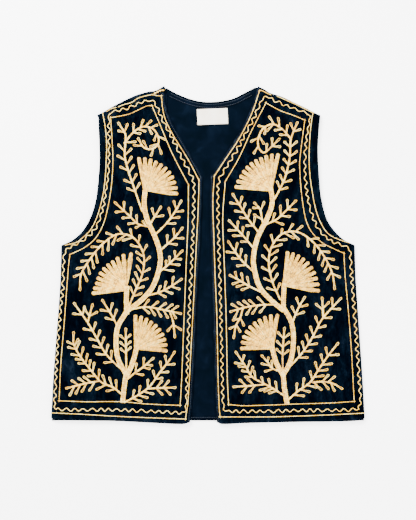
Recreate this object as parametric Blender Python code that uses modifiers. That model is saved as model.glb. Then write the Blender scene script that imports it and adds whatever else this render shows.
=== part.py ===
"""Embroidered velvet folk vest, laid flat on its back with both fronts up.

+X points to the wearer's left, +Y to the neck and +Z up from the surface that the vest lies on.
The origin is on that surface, under the middle of the vest. Right and left are the wearer's own.
Outlines, heights and the embroidery chart are in millimetres, and MM turns them to metres.
"""
import math

import bmesh
import bpy
from mathutils import Vector
from mathutils.bvhtree import BVHTree
from mathutils.geometry import delaunay_2d_cdt

MM = 0.001

# Heights of the layers above the surface, from the back panel up to the fronts.
SHELL_WALL = 1.5
LINING_WALL = 1.0
TRIM_WALL = 1.0
FRONT_WALL = 1.6
SEAM_GAP = 0.3
LINING_LOW = SHELL_WALL + SEAM_GAP
TRIM_LOW = LINING_LOW + LINING_WALL + SEAM_GAP
FRONT_LOW = TRIM_LOW + TRIM_WALL + SEAM_GAP
FRONT_TOP = FRONT_LOW + FRONT_WALL

# Fold of cloth along a side or a shoulder: how far in it starts, and where its edge ends.
ROLL_REACH = 5.0
ROLL_EDGE = SHELL_WALL + SEAM_GAP + 0.45
ROLL_STEPS = (0.0, 0.3, 1.1, 2.6, 5.0)
PLAIN_DROP = 0.3
ROLL_FADE_ROWS = 3
LAST_ROW_INSET = 5.0

# The embroidery stands this much above the cloth that it is worked on.
THREAD_GAP = 0.35
THREAD_RISE = 0.95
BOUGH_WIDTH = 8.0
TWIG_WIDTH = 3.4
LEAF_WIDTH = 4.2
LINE_WIDTH = 3.2
LEAF_LEAN = math.radians(48)
LEAF_LENGTH = 14.5
BARE_STEM = 13.0
WELD = 0.12

# Rows of the panels between the hem, the underarm, the front's corner and the shoulder.
SIDE_ROWS = 6
CHEST_ROWS = 5
NECK_ROWS = 6
FRONT_COLUMNS = 8
SHOULDER_COLUMNS = 5
NECK_COLUMNS = 10

# Edges of each panel, from the hem up or from the armhole to the neck.
RIGHT_SIDE = [(-254.0, -264), (-250.5, -200), (-247, -150), (-243, -100), (-239, -40), (-237.5, 15)]
RIGHT_ARMHOLE_LOW = [(-237.5, 15), (-221, 23), (-204, 37.5), (-190, 60), (-181, 88), (-177, 118)]
RIGHT_ARMHOLE_HIGH = [(-177, 118), (-174.5, 150), (-174.6, 180), (-176, 206), (-177.2, 223)]
RIGHT_FRONT_LOW = [(-28.5, -271), (-25.5, -240), (-20.5, -150), (-17, -60), (-12, 20)]
RIGHT_FRONT_HIGH = [(-12, 20), (-10, 70), (-8.6, 127)]
RIGHT_NECKLINE = [(-8.6, 127), (-26.5, 160), (-49.5, 200), (-62, 224), (-68, 243), (-70.5, 262)]
RIGHT_HEM = [(-254, -264), (-246, -267), (-200, -268.3), (-150, -269), (-90, -272), (-40, -274),
             (-28.5, -271)]
RIGHT_SHOULDER = [(-177.2, 223), (-166.5, 227.6), (-155.3, 234.4), (-132.3, 246.5), (-112.5, 255.4),
                  (-95, 260.4), (-84, 261.6), (-70.5, 262)]

LEFT_SIDE = [(255, -264), (251.5, -200), (248, -150), (244.5, -100), (240.5, -40), (238.5, 15)]
LEFT_ARMHOLE_LOW = [(238.5, 15), (222, 23), (205, 39), (192, 60), (183.5, 95), (181, 120)]
LEFT_ARMHOLE_HIGH = [(181, 120), (179, 150), (178.6, 175), (180, 200), (182.5, 226)]
LEFT_FRONT_LOW = [(15, -271), (12, -200), (10.3, -150), (7.5, -60), (5.5, 20)]
LEFT_FRONT_HIGH = [(5.5, 20), (4.5, 60), (4.2, 127)]
LEFT_NECKLINE = [(4.2, 127), (20, 149), (40, 180), (60, 214), (71, 239), (77, 256), (81, 273)]
LEFT_HEM = [(255, -264), (247, -268), (200, -270), (150, -270.5), (100, -271.5), (60, -272.5),
            (24, -274), (15, -271)]
LEFT_SHOULDER = [(182.5, 226), (176, 228.5), (160, 237), (140, 246.5), (120, 256), (100, 262.5),
                 (91, 268.5), (81, 273)]

BACK_HEM_Y = -265.5
BACK_NECKLINE = [(-69.5, 271.5), (-54.5, 263), (-35, 254.5), (-16, 249), (4, 247.3), (24, 249),
                 (43, 253.5), (62, 263), (79.5, 272)]
BACK_RIGHT_FOLD = [(-179, 226.2), (-168, 231.2), (-157, 238), (-134, 250), (-114, 259), (-94, 264.4),
                   (-84, 265.5), (-70, 273.5)]
BACK_INSET = 1.2

# Turned edge of the back along the right shoulder: inset from the fold, and height.
TURN_SECTION = ((4.0, 0.0), (1.4, 0.4), (0.2, 1.7), (0.0, 3.1), (0.5, 4.6), (1.7, FRONT_TOP - 0.25))
# Distance between the turned edge and the front that it is sewn to.
TURN_SEAM = 0.65

LABEL_CENTRE = (8.0, 224.6)
LABEL_SIZE = (49.5, 25.5)
LABEL_TURN = math.radians(2.4)
FACING_WIDTH = 8.6
LINING_INSET = 6.0
LINING_HEM_INSET = 2.0
LINING_NECK_INSET = 1.2

# Soft swells of the fronts: centre, half width and half length, and height.
RIGHT_SWELLS = (((-150, -120), (90, 120), 1.5), ((-95, 60), (70, 90), 1.3), ((-120, 180), (45, 45), 0.8))
LEFT_SWELLS = (((140, -110), (90, 120), 1.4), ((95, 70), (70, 90), 1.4), ((115, 185), (45, 45), 0.8))

COLOURS = {
    "velvet": (0.012, 0.020, 0.036),
    "lining": (0.008, 0.016, 0.032),
    "thread": (0.80, 0.64, 0.38),
    "label": (0.86, 0.80, 0.70),
}
ROUGHNESS = {"velvet": 0.9, "lining": 0.7, "thread": 0.75, "label": 0.5}

# Boughs of the vine: each row is one thick stem through its knots.
RIGHT_BOUGHS = (
    ((-137.5, -239), (-136, -215), (-132, -193)),
    ((-132, -193), (-144, -168), (-149, -140), (-145, -115), (-134, -96), (-129, -86)),
    ((-131, -94), (-132.5, -75), (-132, -52)),
    ((-130, -90), (-108, -71), (-91, -50), (-80, -22), (-77, 0), (-84, 28), (-97, 57), (-102, 82),
     (-101, 107)),
    ((-131, -196), (-122, -176), (-114.5, -148)),
)
LEFT_BOUGHS = (
    ((128.5, -241), (124, -212), (122.5, -194)),
    ((122.5, -194), (134, -172), (139, -140), (136, -110), (126, -90), (120, -82)),
    ((122.5, -88), (123, -68), (124, -47)),
    ((122, -89), (103, -71), (86, -52), (76, -22), (74.5, 0), (81, 30), (96, 60), (104, 85), (102, 109)),
    ((122, -194), (111, -174), (104, -147)),
)

# Fan flowers: base, reach, first and last petal in degrees from +X, petals.
RIGHT_FANS = (
    ((-101, 104), 54, 101, -5, 11),
    ((-131, -55), 55, 83, 188, 11),
    ((-116, -150), 52, 91, -4, 10),
)
LEFT_FANS = (
    ((102, 106), 56, 79, 174, 11),
    ((124, -50), 57, 84, -7, 10),
    ((104, -150), 53, 82, 181, 10),
)

# Leafy sprigs: knots of the stem from root to tip, pairs of leaflets, length of the last leaflet.
RIGHT_SPRIGS = {
    "armhole": (((-104, 82), (-116, 104), (-127, 132), (-134, 160), (-133, 187), (-145, 215)), 6, 15),
    "shoulder": (((-132, 186), (-121, 199), (-104, 208), (-88, 204), (-80, 190), (-82, 176), (-93, 170),
                  (-104, 176), (-112, 190)), 6, 13),
    "chest": (((-94, 46), (-112, 50), (-126, 63), (-150, 85)), 3, 16),
    "chest_fork": (((-93, 50), (-87, 60), (-75, 79)), 1, 17),
    "front_top": (((-85, 33), (-66, 52), (-53, 70), (-42, 89)), 3, 18),
    "front_upper": (((-77, 7), (-66, 17), (-54, 28), (-40, 45)), 2, 20),
    "front_middle": (((-80, -29), (-62, -12), (-40, 8)), 3, 17),
    "front_lower": (((-101, -66), (-80, -61), (-60, -51), (-41, -38)), 3, 19),
    "arch": (((-128, -84), (-118, -60), (-105, -28), (-104, 2), (-120, 28), (-145, 34), (-170, 18),
              (-190, -6), (-205, -32), (-206, -57)), 13, 17),
    "side_hang": (((-120, -87), (-100, -84), (-75, -88), (-42, -95)), 5, 16),
    "side_drop": (((-61, -92), (-56, -108), (-53, -134)), 1, 25),
    "centre": (((-130, -192), (-131, -160), (-132, -118)), 3, 19),
    "hip": (((-147, -113), (-155, -98), (-171, -72)), 2, 22),
    "waist": (((-140, -181), (-165, -158), (-182, -130), (-195, -108), (-217, -77)), 6, 22),
    "waist_twig": (((-194, -109), (-191, -97), (-186, -79)), 1, 18),
    "corner": (((-139, -226), (-152, -215), (-172, -206), (-188, -188), (-207, -163), (-217, -143),
                (-217, -124)), 8, 17),
    "corner_twig": (((-176, -204), (-198, -208), (-230, -216)), 4, 14),
    "base": (((-134, -235), (-110, -224), (-94, -213), (-78, -191), (-64, -173), (-53, -156)), 6, 20),
    "base_twig": (((-98, -217), (-80, -216), (-51, -215)), 2, 18),
    "fork_twig": (((-129, -200), (-118, -191), (-104, -181), (-87, -166)), 2, 20),
}
LEFT_SPRIGS = {
    "armhole": (((108, 90), (116, 105), (126, 127), (133, 158), (135, 188), (146, 216)), 7, 15),
    "shoulder": (((134, 189), (122, 203), (106, 212), (90, 205), (81, 188), (82, 173), (91, 166),
                  (104, 176), (117, 189)), 6, 13),
    "chest": (((93, 49), (112, 57), (128, 71), (144, 89)), 3, 19),
    "chest_fork": (((89, 54), (87, 65), (85, 74), (75, 84)), 2, 13),
    "front_top": (((81, 39), (66, 58), (53, 79), (40, 100)), 4, 20),
    "front_upper": (((72, 14), (57, 32), (34, 57)), 3, 21),
    "front_middle": (((71, -24), (53, -6), (33, 23)), 3, 21),
    "front_lower": (((85, -59), (67, -50), (50, -40), (35, -32)), 3, 16),
    "arch": (((117, -71), (106, -46), (99, -14), (104, 14), (122, 35), (147, 37), (172, 20), (190, -4),
              (202, -30), (206, -56)), 13, 17),
    "side_hang": (((107, -80), (85, -81), (60, -85), (36, -92)), 5, 14),
    "side_drop": (((57, -87), (53, -101), (46, -114), (42, -135)), 2, 18),
    "centre": (((122, -190), (121.5, -160), (124.5, -117)), 3, 18),
    "hip": (((138, -108), (143, -95), (149, -82), (158, -67)), 2, 18),
    "waist": (((136, -178), (155, -156), (171, -131), (186, -103), (217, -69)), 7, 25),
    "waist_twig": (((187, -101), (186.5, -88), (185.5, -68)), 1, 19),
    "corner": (((130, -232), (147, -219), (166, -206), (180, -185), (196, -162), (212, -142)), 7, 25),
    "corner_twig": (((170, -206), (188, -205), (203, -208), (219, -218)), 3, 17),
    "base": (((126, -229), (103, -216), (82, -200), (62, -180), (45, -156)), 7, 19),
    "base_twig": (((92, -211), (70, -213), (41, -214)), 2, 18),
    "fork_twig": (((116, -188), (104, -183), (98, -174), (87, -162)), 2, 15),
}

# Straight lines of the border: each row is one stretch, and the stretches meet at corners.
RIGHT_INNER_LINE = (
    ((-44.5, -243.5), (-100, -241), (-140, -237.5), (-200, -237.5), (-240.5, -236)),
    ((-240.5, -236), (-238, -180), (-231.5, -100), (-225.5, -20), (-223, 1)),
    ((-223, 1), (-200, 12), (-182, 27), (-169, 50), (-161, 80), (-155, 120), (-153.5, 160), (-157, 222)),
    ((-157, 222), (-128, 227), (-110, 235), (-98, 241), (-90, 241.5)),
    ((-90, 241.5), (-74, 204), (-57.5, 165), (-31, 114)),
    ((-31, 114), (-31.5, 60), (-34, 0), (-38, -100), (-42, -200), (-44.5, -243.5)),
)
RIGHT_OUTER_LINE = (
    ((-247, -256), (-200, -258.5), (-140, -260.5), (-60, -265), (-34.5, -265.5)),
    ((-34.5, -265.5), (-30, -200), (-24.5, -100), (-20, 0), (-15.5, 80), (-15, 120)),
    ((-15, 120), (-35, 155), (-60, 202), (-70, 230), (-75, 258)),
    ((-75, 258), (-100, 257), (-122, 249), (-146, 237.5), (-167, 225)),
    ((-167, 225), (-164.5, 185), (-164, 145), (-167.5, 105), (-178, 65), (-200, 32), (-221, 19.5)),
)
LEFT_INNER_LINE = (
    ((34, -242), (60, -244), (150, -241), (200, -239.5), (237.5, -237)),
    ((237.5, -237), (233, -155), (228, -90), (222.5, -30), (221, 3)),
    ((221, 3), (205, 10), (182, 23), (163, 47), (154, 85), (149, 145), (150.5, 165), (157.5, 218.5)),
    ((157.5, 218.5), (140, 226), (118, 234), (94.5, 246.5)),
    ((94.5, 246.5), (70, 199), (50, 156), (28.5, 119)),
    ((28.5, 119), (24.5, 60), (26.5, 0), (30, -100), (32, -200), (34, -242)),
)
LEFT_OUTER_LINE = (
    ((247, -257), (200, -259.5), (150, -260.5), (60, -262.5), (20, -263)),
    ((20, -263), (17, -210), (14.5, -100), (11.5, 0), (9, 60), (10.5, 124)),
    ((10.5, 124), (40, 173), (60, 205), (73, 235), (83.5, 262)),
)
LEFT_ARMHOLE_LINE = (
    ((170, 225), (166, 190), (164.5, 150), (168, 105), (178, 65), (192, 38), (222, 21)),
)


def clear_scene():
    """Remove the objects that a new file starts with."""
    for thing in list(bpy.data.objects):
        bpy.data.objects.remove(thing, do_unlink=True)


def cloth_material(name):
    """A Principled material with the piece's plain colour."""
    material = bpy.data.materials.new(name)
    material.use_nodes = True
    shader = material.node_tree.nodes["Principled BSDF"]
    shader.inputs["Base Color"].default_value = (*COLOURS[name], 1.0)
    shader.inputs["Roughness"].default_value = ROUGHNESS[name]
    shader.inputs["Metallic"].default_value = 0.0
    return material


def smooth_course(knots, spacing):
    """Points about every `spacing` along a smooth curve through the knots."""
    knots = [Vector(knot) for knot in knots]
    lengths = [(b - a).length for a, b in zip(knots, knots[1:])]
    tangents = []
    for i in range(len(knots)):
        before = max(i - 1, 0)
        after = min(i + 1, len(knots) - 1)
        tangents.append((knots[after] - knots[before]) / sum(lengths[before:after]))
    course = [knots[0]]
    for i, length in enumerate(lengths):
        steps = max(1, round(length / spacing))
        for step in range(1, steps + 1):
            t = step / steps
            start_pull = (t - 2 * t ** 2 + t ** 3) * length
            end_pull = (t ** 3 - t ** 2) * length
            blend = 3 * t ** 2 - 2 * t ** 3
            course.append(knots[i] * (1 - blend) + knots[i + 1] * blend
                          + tangents[i] * start_pull + tangents[i + 1] * end_pull)
    return course


def at_length(course, distance):
    """The point and the direction at a distance along a course."""
    for a, b in zip(course, course[1:]):
        length = (b - a).length
        if distance <= length or b is course[-1]:
            direction = (b - a).normalized()
            return a + direction * min(distance, length), direction
        distance -= length


def course_length(course):
    """The length of a course."""
    return sum((b - a).length for a, b in zip(course, course[1:]))


def divide(knots, shares):
    """Points at the given shares of the length of a smooth curve."""
    course = smooth_course(knots, 3.0)
    total = course_length(course)
    return [at_length(course, share * total)[0] for share in shares]


def even(count):
    """Even shares from 0 to 1."""
    return [i / count for i in range(count + 1)]


def chain(*stretches):
    """Stretches of an edge joined at their corners: pairs of knots and a number of rows."""
    points = []
    for knots, count in stretches:
        part = divide(knots, even(count))
        points += part if not points else part[1:]
    return points


def inset(points, distance):
    """A course moved to the left of its direction."""
    moved = []
    for i, point in enumerate(points):
        along = points[min(i + 1, len(points) - 1)] - points[max(i - 1, 0)]
        moved.append(point + Vector((-along.y, along.x)).normalized() * distance)
    return moved


def coons_grid(left, right, bottom, top, shares):
    """Rows of points that fill the space between four edges that meet at their ends."""
    heights = [0.0]
    for a, b, c, d in zip(left, left[1:], right, right[1:]):
        heights.append(heights[-1] + (b - a).length + (d - c).length)
    rows = []
    for j, (start, end) in enumerate(zip(left, right)):
        v = heights[j] / heights[-1]
        row = []
        for i, u in enumerate(shares):
            across = start.lerp(end, u)
            along = bottom[i].lerp(top[i], v)
            corners = left[0].lerp(right[0], u).lerp(left[-1].lerp(right[-1], u), v)
            row.append(across + along - corners)
        rows.append(row)
    return rows


def grid_faces(rows, columns):
    """Quads of a grid of rows and columns of points."""
    faces = []
    for j in range(rows - 1):
        for i in range(columns - 1):
            a = j * columns + i
            faces.append((a, a + 1, a + columns + 1, a + columns))
    return faces


def add_mesh(name, points, faces, material, collection):
    """A mesh object from points in millimetres."""
    mesh = bpy.data.meshes.new(name)
    mesh.from_pydata([Vector(point) * MM for point in points], [], faces)
    mesh.materials.append(material)
    piece = bpy.data.objects.new(name, mesh)
    collection.objects.link(piece)
    return piece


def give_wall(piece, thickness):
    """Turn an open surface into a cloth wall on its inner side."""
    wall = piece.modifiers.new("wall", "SOLIDIFY")
    wall.thickness = thickness * MM
    wall.offset = -1.0
    piece.data.shade_smooth()
    piece.data.set_sharp_from_angle(angle=math.radians(40))


def roll_drop(distance, drop):
    """How far cloth has come down at a distance from the edge of its fold."""
    if distance >= ROLL_REACH:
        return 0.0
    return drop * (1 - math.sqrt(1 - (1 - distance / ROLL_REACH) ** 2))


def swell(x, y, swells):
    """Height that the soft swells of a front add at a point."""
    height = 0.0
    for (cx, cy), (half_width, half_length), rise in swells:
        away = math.hypot((x - cx) / half_width, (y - cy) / half_length)
        if away < 1:
            height += rise * math.cos(away * math.pi / 2) ** 2
    return height


def front_panel(name, edges, swells, shoulder_drop, material, collection):
    """One velvet front: its side rolls down to the back, and so does its shoulder where told."""
    side, armhole_low, armhole_high, front_low, front_high, neckline, hem, shoulder = edges
    outer = chain((side, SIDE_ROWS), (armhole_low, CHEST_ROWS), (armhole_high, NECK_ROWS))
    inner = chain((front_low, SIDE_ROWS), (front_high, CHEST_ROWS), (neckline, NECK_ROWS))
    width = (inner[0] - outer[0]).length
    shares = [step / width for step in ROLL_STEPS]
    shares += [shares[-1] + (1 - shares[-1]) * i / FRONT_COLUMNS for i in range(1, FRONT_COLUMNS + 1)]
    bottom = divide(hem, shares)
    top = divide(shoulder, shares)
    rows = coons_grid(outer, inner, bottom, top, shares)
    for inset_step in reversed(ROLL_STEPS[1:]):
        rows.insert(len(rows) - 1, [low + (high - low).normalized() * ((high - low).length - inset_step)
                                    for low, high in zip(rows[-2], rows[-1])])
    points = []
    for j, row in enumerate(rows):
        side_share = min(1.0, max(0.0, 1 - (j - SIDE_ROWS) / ROLL_FADE_ROWS))
        for i, point in enumerate(row):
            from_side = (point - row[0]).length
            from_shoulder = (rows[-1][i] - point).length
            from_edge = min(from_side, from_shoulder, (point - row[-1]).length,
                            (point - rows[0][i]).length)
            z = FRONT_TOP + swell(point.x, point.y, swells) * min(1.0, from_edge / 25)
            z -= roll_drop(from_side, (FRONT_TOP - ROLL_EDGE) * side_share)
            z -= roll_drop(from_shoulder, shoulder_drop) * (1.0 if i > 0 else 0.6)
            points.append((point.x, point.y, max(z, ROLL_EDGE)))
    faces = grid_faces(len(rows), len(shares))
    if outer[0].x > inner[0].x:
        faces = [tuple(reversed(face)) for face in faces]
    piece = add_mesh(name, points, faces, material, collection)
    give_wall(piece, FRONT_WALL)
    return piece


def back_panel(material, collection):
    """The velvet back, face down, with its right shoulder turned over the fold to the front."""
    right = inset(chain((RIGHT_SIDE, SIDE_ROWS), (RIGHT_ARMHOLE_LOW, CHEST_ROWS),
                        (RIGHT_ARMHOLE_HIGH, NECK_ROWS)), -BACK_INSET)
    left = inset(chain((LEFT_SIDE, SIDE_ROWS), (LEFT_ARMHOLE_LOW, CHEST_ROWS),
                       (LEFT_ARMHOLE_HIGH, NECK_ROWS)), BACK_INSET)
    fold = divide(BACK_RIGHT_FOLD, even(SHOULDER_COLUMNS))
    shoulder = inset(fold, -TURN_SECTION[0][0])
    neckline = divide(BACK_NECKLINE, even(NECK_COLUMNS))
    left_shoulder = inset(divide(list(reversed(LEFT_SHOULDER)), even(SHOULDER_COLUMNS)), -BACK_INSET)
    top = shoulder + neckline[1:-1] + left_shoulder
    right[-1] = top[0]
    left[-1] = top[-1]
    right[0].y = BACK_HEM_Y
    left[0].y = BACK_HEM_Y
    shares = [(point.x - top[0].x) / (top[-1].x - top[0].x) for point in top]
    bottom = [right[0].lerp(left[0], share) for share in shares]
    rows = coons_grid(right, left, bottom, top, shares)
    columns = len(shares)
    points = [(point.x, point.y, 0.0) for row in rows for point in row]
    faces = grid_faces(len(rows), columns)
    last_row = len(points) - columns
    fold_points = SHOULDER_COLUMNS + 1
    low_row = list(range(last_row, last_row + fold_points))
    seam = inset(divide(RIGHT_SHOULDER, even(SHOULDER_COLUMNS)), TURN_SEAM)
    rings = [(inset(fold, -away), z) for away, z in TURN_SECTION[1:]] + [(seam, FRONT_TOP)]
    for ring, z in rings:
        high_row = list(range(len(points), len(points) + fold_points))
        points += [(place.x, place.y, z) for place in ring]
        for i in range(fold_points - 1):
            faces.append((low_row[i], low_row[i + 1], high_row[i + 1], high_row[i]))
        low_row = high_row
    faces = [tuple(reversed(face)) for face in faces]
    piece = add_mesh("back_shell", points, faces, material, collection)
    give_wall(piece, SHELL_WALL)
    return piece


def flat_piece(name, outline, low, thickness, material, collection):
    """A flat piece of cloth from its outline, which runs clockwise."""
    count = len(outline)
    points = [(point.x, point.y, low) for point in outline]
    points += [(point.x, point.y, low + thickness) for point in outline]
    faces = [tuple(range(count)), tuple(reversed(range(count, 2 * count)))]
    for i in range(count):
        after = (i + 1) % count
        faces.append((after, i, i + count, after + count))
    return add_mesh(name, points, faces, material, collection)


def back_lining(material, collection):
    """The lining of the back, which shows at the neck and between the fronts."""
    right = inset(chain((RIGHT_SIDE, SIDE_ROWS), (RIGHT_ARMHOLE_LOW, CHEST_ROWS),
                        (RIGHT_ARMHOLE_HIGH, NECK_ROWS)), -LINING_INSET)
    left = inset(chain((LEFT_SIDE, SIDE_ROWS), (LEFT_ARMHOLE_LOW, CHEST_ROWS),
                       (LEFT_ARMHOLE_HIGH, NECK_ROWS)), LINING_INSET)
    right[0].y = BACK_HEM_Y + LINING_HEM_INSET
    left[0].y = BACK_HEM_Y + LINING_HEM_INSET
    right_shoulder = inset(divide(BACK_RIGHT_FOLD, even(SHOULDER_COLUMNS)), -LINING_INSET)[1:-1]
    left_shoulder = inset(divide(LEFT_SHOULDER, even(SHOULDER_COLUMNS)), LINING_INSET)[1:-1]
    right[-1].y -= LINING_INSET
    left[-1].y -= LINING_INSET
    neckline = inset(divide(BACK_NECKLINE, even(NECK_COLUMNS)), -LINING_NECK_INSET)[1:-1]
    outline = right + right_shoulder + neckline + list(reversed(left_shoulder)) + list(reversed(left))
    return flat_piece("back_lining", outline, LINING_LOW, LINING_WALL, material, collection)


def neck_facing(material, collection):
    """The facing strip that is stitched down inside the back of the neck."""
    neckline = divide(BACK_NECKLINE, [0.07 + 0.86 * share for share in even(NECK_COLUMNS + 2)])
    upper = inset(neckline, -LINING_NECK_INSET)
    lower = inset(neckline, -FACING_WIDTH)
    return flat_piece("neck_facing", upper + list(reversed(lower)), TRIM_LOW, TRIM_WALL, material,
                      collection)


def neck_label(material, collection):
    """The plain woven label under the neck facing."""
    half_width, half_height = LABEL_SIZE[0] / 2, LABEL_SIZE[1] / 2
    outline = []
    for x, y in ((-half_width, half_height), (half_width, half_height), (half_width, -half_height),
                 (-half_width, -half_height)):
        turned_x = x * math.cos(LABEL_TURN) - y * math.sin(LABEL_TURN)
        turned_y = x * math.sin(LABEL_TURN) + y * math.cos(LABEL_TURN)
        outline.append(Vector((LABEL_CENTRE[0] + turned_x, LABEL_CENTRE[1] + turned_y)))
    return flat_piece("neck_label", outline, TRIM_LOW, TRIM_WALL, material, collection)


def strip(course, width):
    """Flat quads along a course, one for each stretch between its points."""
    left_edge = inset(course, width / 2)
    right_edge = inset(course, -width / 2)
    return [[left_edge[i], right_edge[i], right_edge[i + 1], left_edge[i + 1]]
            for i in range(len(course) - 1)]


def turned(direction, angle):
    """A direction turned to the left by an angle."""
    turn_cos, turn_sin = math.cos(angle), math.sin(angle)
    return Vector((direction.x * turn_cos - direction.y * turn_sin,
                   direction.x * turn_sin + direction.y * turn_cos))


def leaflet(root, stem_direction, length, side):
    """Outline of a leaflet from the stem's edge to its round end and back, on one side of a stem."""
    direction = turned(stem_direction, side * LEAF_LEAN)
    across = Vector((-direction.y, direction.x)) * (side * LEAF_WIDTH / 2)
    out = Vector((-stem_direction.y, stem_direction.x)) * (side * TWIG_WIDTH / 2)
    lean_sin = math.sin(LEAF_LEAN)
    near = (TWIG_WIDTH / 2 * math.cos(LEAF_LEAN) - LEAF_WIDTH / 2) / lean_sin
    far = (TWIG_WIDTH / 2 * math.cos(LEAF_LEAN) + LEAF_WIDTH / 2) / lean_sin
    round_start = root + direction * (length - LEAF_WIDTH / 3)
    return [root + out + stem_direction * near, round_start + across, root + direction * length,
            round_start - across, root + out + stem_direction * far]


def sprig(knots, pairs, last_leaf):
    """Outlines of a twig: one for each pair of leaflets, and one for the leaflet at its tip."""
    course = smooth_course(knots, 6.0)
    total = course_length(course)
    last = total - last_leaf
    first = min(BARE_STEM, last)
    step = (last - first) / max(pairs - 1, 1)
    places = [last - step * i for i in reversed(range(pairs))]
    root, direction = at_length(course, 0.0)
    across = Vector((-direction.y, direction.x)) * (TWIG_WIDTH / 2)
    left, right = root + across, root - across
    shapes = []
    length = min(LEAF_LENGTH, last_leaf)
    for place in places:
        root, direction = at_length(course, place)
        left_leaf = leaflet(root, direction, length, 1)
        right_leaf = leaflet(root, direction, length, -1)
        shapes.append([left] + left_leaf + list(reversed(right_leaf)) + [right])
        left, right = left_leaf[-1], right_leaf[-1]
    tip = course[-1]
    direction = (tip - root).normalized()
    across = Vector((-direction.y, direction.x)) * (LEAF_WIDTH / 2)
    round_start = tip - direction * LEAF_WIDTH / 3
    shapes.append([left, round_start + across, tip, round_start - across, right])
    return shapes


def fan(base, reach, first_angle, last_angle, petals):
    """A fan flower: petals side by side that part near their round ends."""
    step = math.radians(last_angle - first_angle) / (petals - 1)
    outline = []
    for petal in range(petals):
        middle = math.radians(first_angle) + step * petal
        for share, radius in ((-0.5, 0.80), (-0.36, 0.93), (0.0, 1.0), (0.36, 0.93)):
            angle = middle + share * step
            outline.append(Vector(base) + Vector((math.cos(angle), math.sin(angle))) * reach * radius)
    angle = math.radians(last_angle) + step / 2
    outline.append(Vector(base) + Vector((math.cos(angle), math.sin(angle))) * reach * 0.8)
    start = Vector(base) + Vector((math.cos(angle), math.sin(angle))) * BOUGH_WIDTH * 0.5
    angle = math.radians(first_angle) - step / 2
    end = Vector(base) + Vector((math.cos(angle), math.sin(angle))) * BOUGH_WIDTH * 0.5
    return [outline + [start, end]]


def border_line(stretches):
    """A line of the border, with its stretches joined at their corners."""
    shapes = []
    for knots in stretches:
        course = smooth_course(knots, 26.0)
        ends = (course[0] - course[1]).normalized(), (course[-1] - course[-2]).normalized()
        course[0] = course[0] + ends[0] * LINE_WIDTH / 2
        course[-1] = course[-1] + ends[1] * LINE_WIDTH / 2
        shapes += strip(course, LINE_WIDTH)
    return shapes


def surface_of(piece):
    """A search tree of a finished piece, for finding its top under a point."""
    depsgraph = bpy.context.evaluated_depsgraph_get()
    evaluated = piece.evaluated_get(depsgraph)
    return BVHTree.FromObject(evaluated, depsgraph)


def top_of(surface, x, y):
    """Height of a piece's top at a point, in millimetres."""
    found = surface.ray_cast(Vector((x * MM, y * MM, 1.0)), Vector((0, 0, -1)))
    return found[0].z / MM


def turn_of(outline):
    """Twice the area of an outline, which is negative when it runs clockwise."""
    return sum(a.x * b.y - b.x * a.y for a, b in zip(outline, outline[1:] + outline[:1]))


def applique(name, shapes, surface, material, collection):
    """Flat shapes joined to one layer of stitching that follows the cloth under it."""
    flat_points = []
    outlines = []
    for shape in shapes:
        around = list(range(len(flat_points), len(flat_points) + len(shape)))
        flat_points += shape
        outlines.append(around if turn_of(shape) > 0 else list(reversed(around)))
    points, _, triangles, _, _, sources = delaunay_2d_cdt(flat_points, [], outlines, 1, 0.02)
    layer = bmesh.new()
    corners = [layer.verts.new((point.x, point.y, 0.0)) for point in points]
    for triangle, source in zip(triangles, sources):
        if source:
            layer.faces.new([corners[i] for i in triangle])
    bmesh.ops.remove_doubles(layer, verts=layer.verts, dist=WELD)
    bmesh.ops.delete(layer, geom=[corner for corner in layer.verts if not corner.link_faces],
                     context="VERTS")
    layer.verts.index_update()
    count = len(layer.verts)
    low = []
    for corner in layer.verts:
        height = top_of(surface, corner.co.x, corner.co.y) + THREAD_GAP
        low.append((corner.co.x, corner.co.y, height))
    high = [(x, y, z + THREAD_RISE) for x, y, z in low]
    faces = []
    for face in layer.faces:
        around = [corner.index for corner in face.verts]
        faces.append([i + count for i in around])
        faces.append(list(reversed(around)))
    for edge in layer.edges:
        if edge.is_boundary:
            loop = edge.link_loops[0]
            start, end = loop.vert.index, loop.link_loop_next.vert.index
            faces.append((start, end, end + count, start + count))
    layer.free()
    return add_mesh(name, low + high, faces, material, collection)


def vine(name, boughs, fans, sprigs, inner_line, surface, material, collection):
    """The whole vine of one front with the inner line that it grows from."""
    shapes = border_line(inner_line)
    for knots in boughs:
        shapes += strip(smooth_course(knots, 14.0), BOUGH_WIDTH)
    for row in fans:
        shapes += fan(*row)
    for row in sprigs.values():
        shapes += sprig(*row)
    return applique(name, shapes, surface, material, collection)


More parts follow.
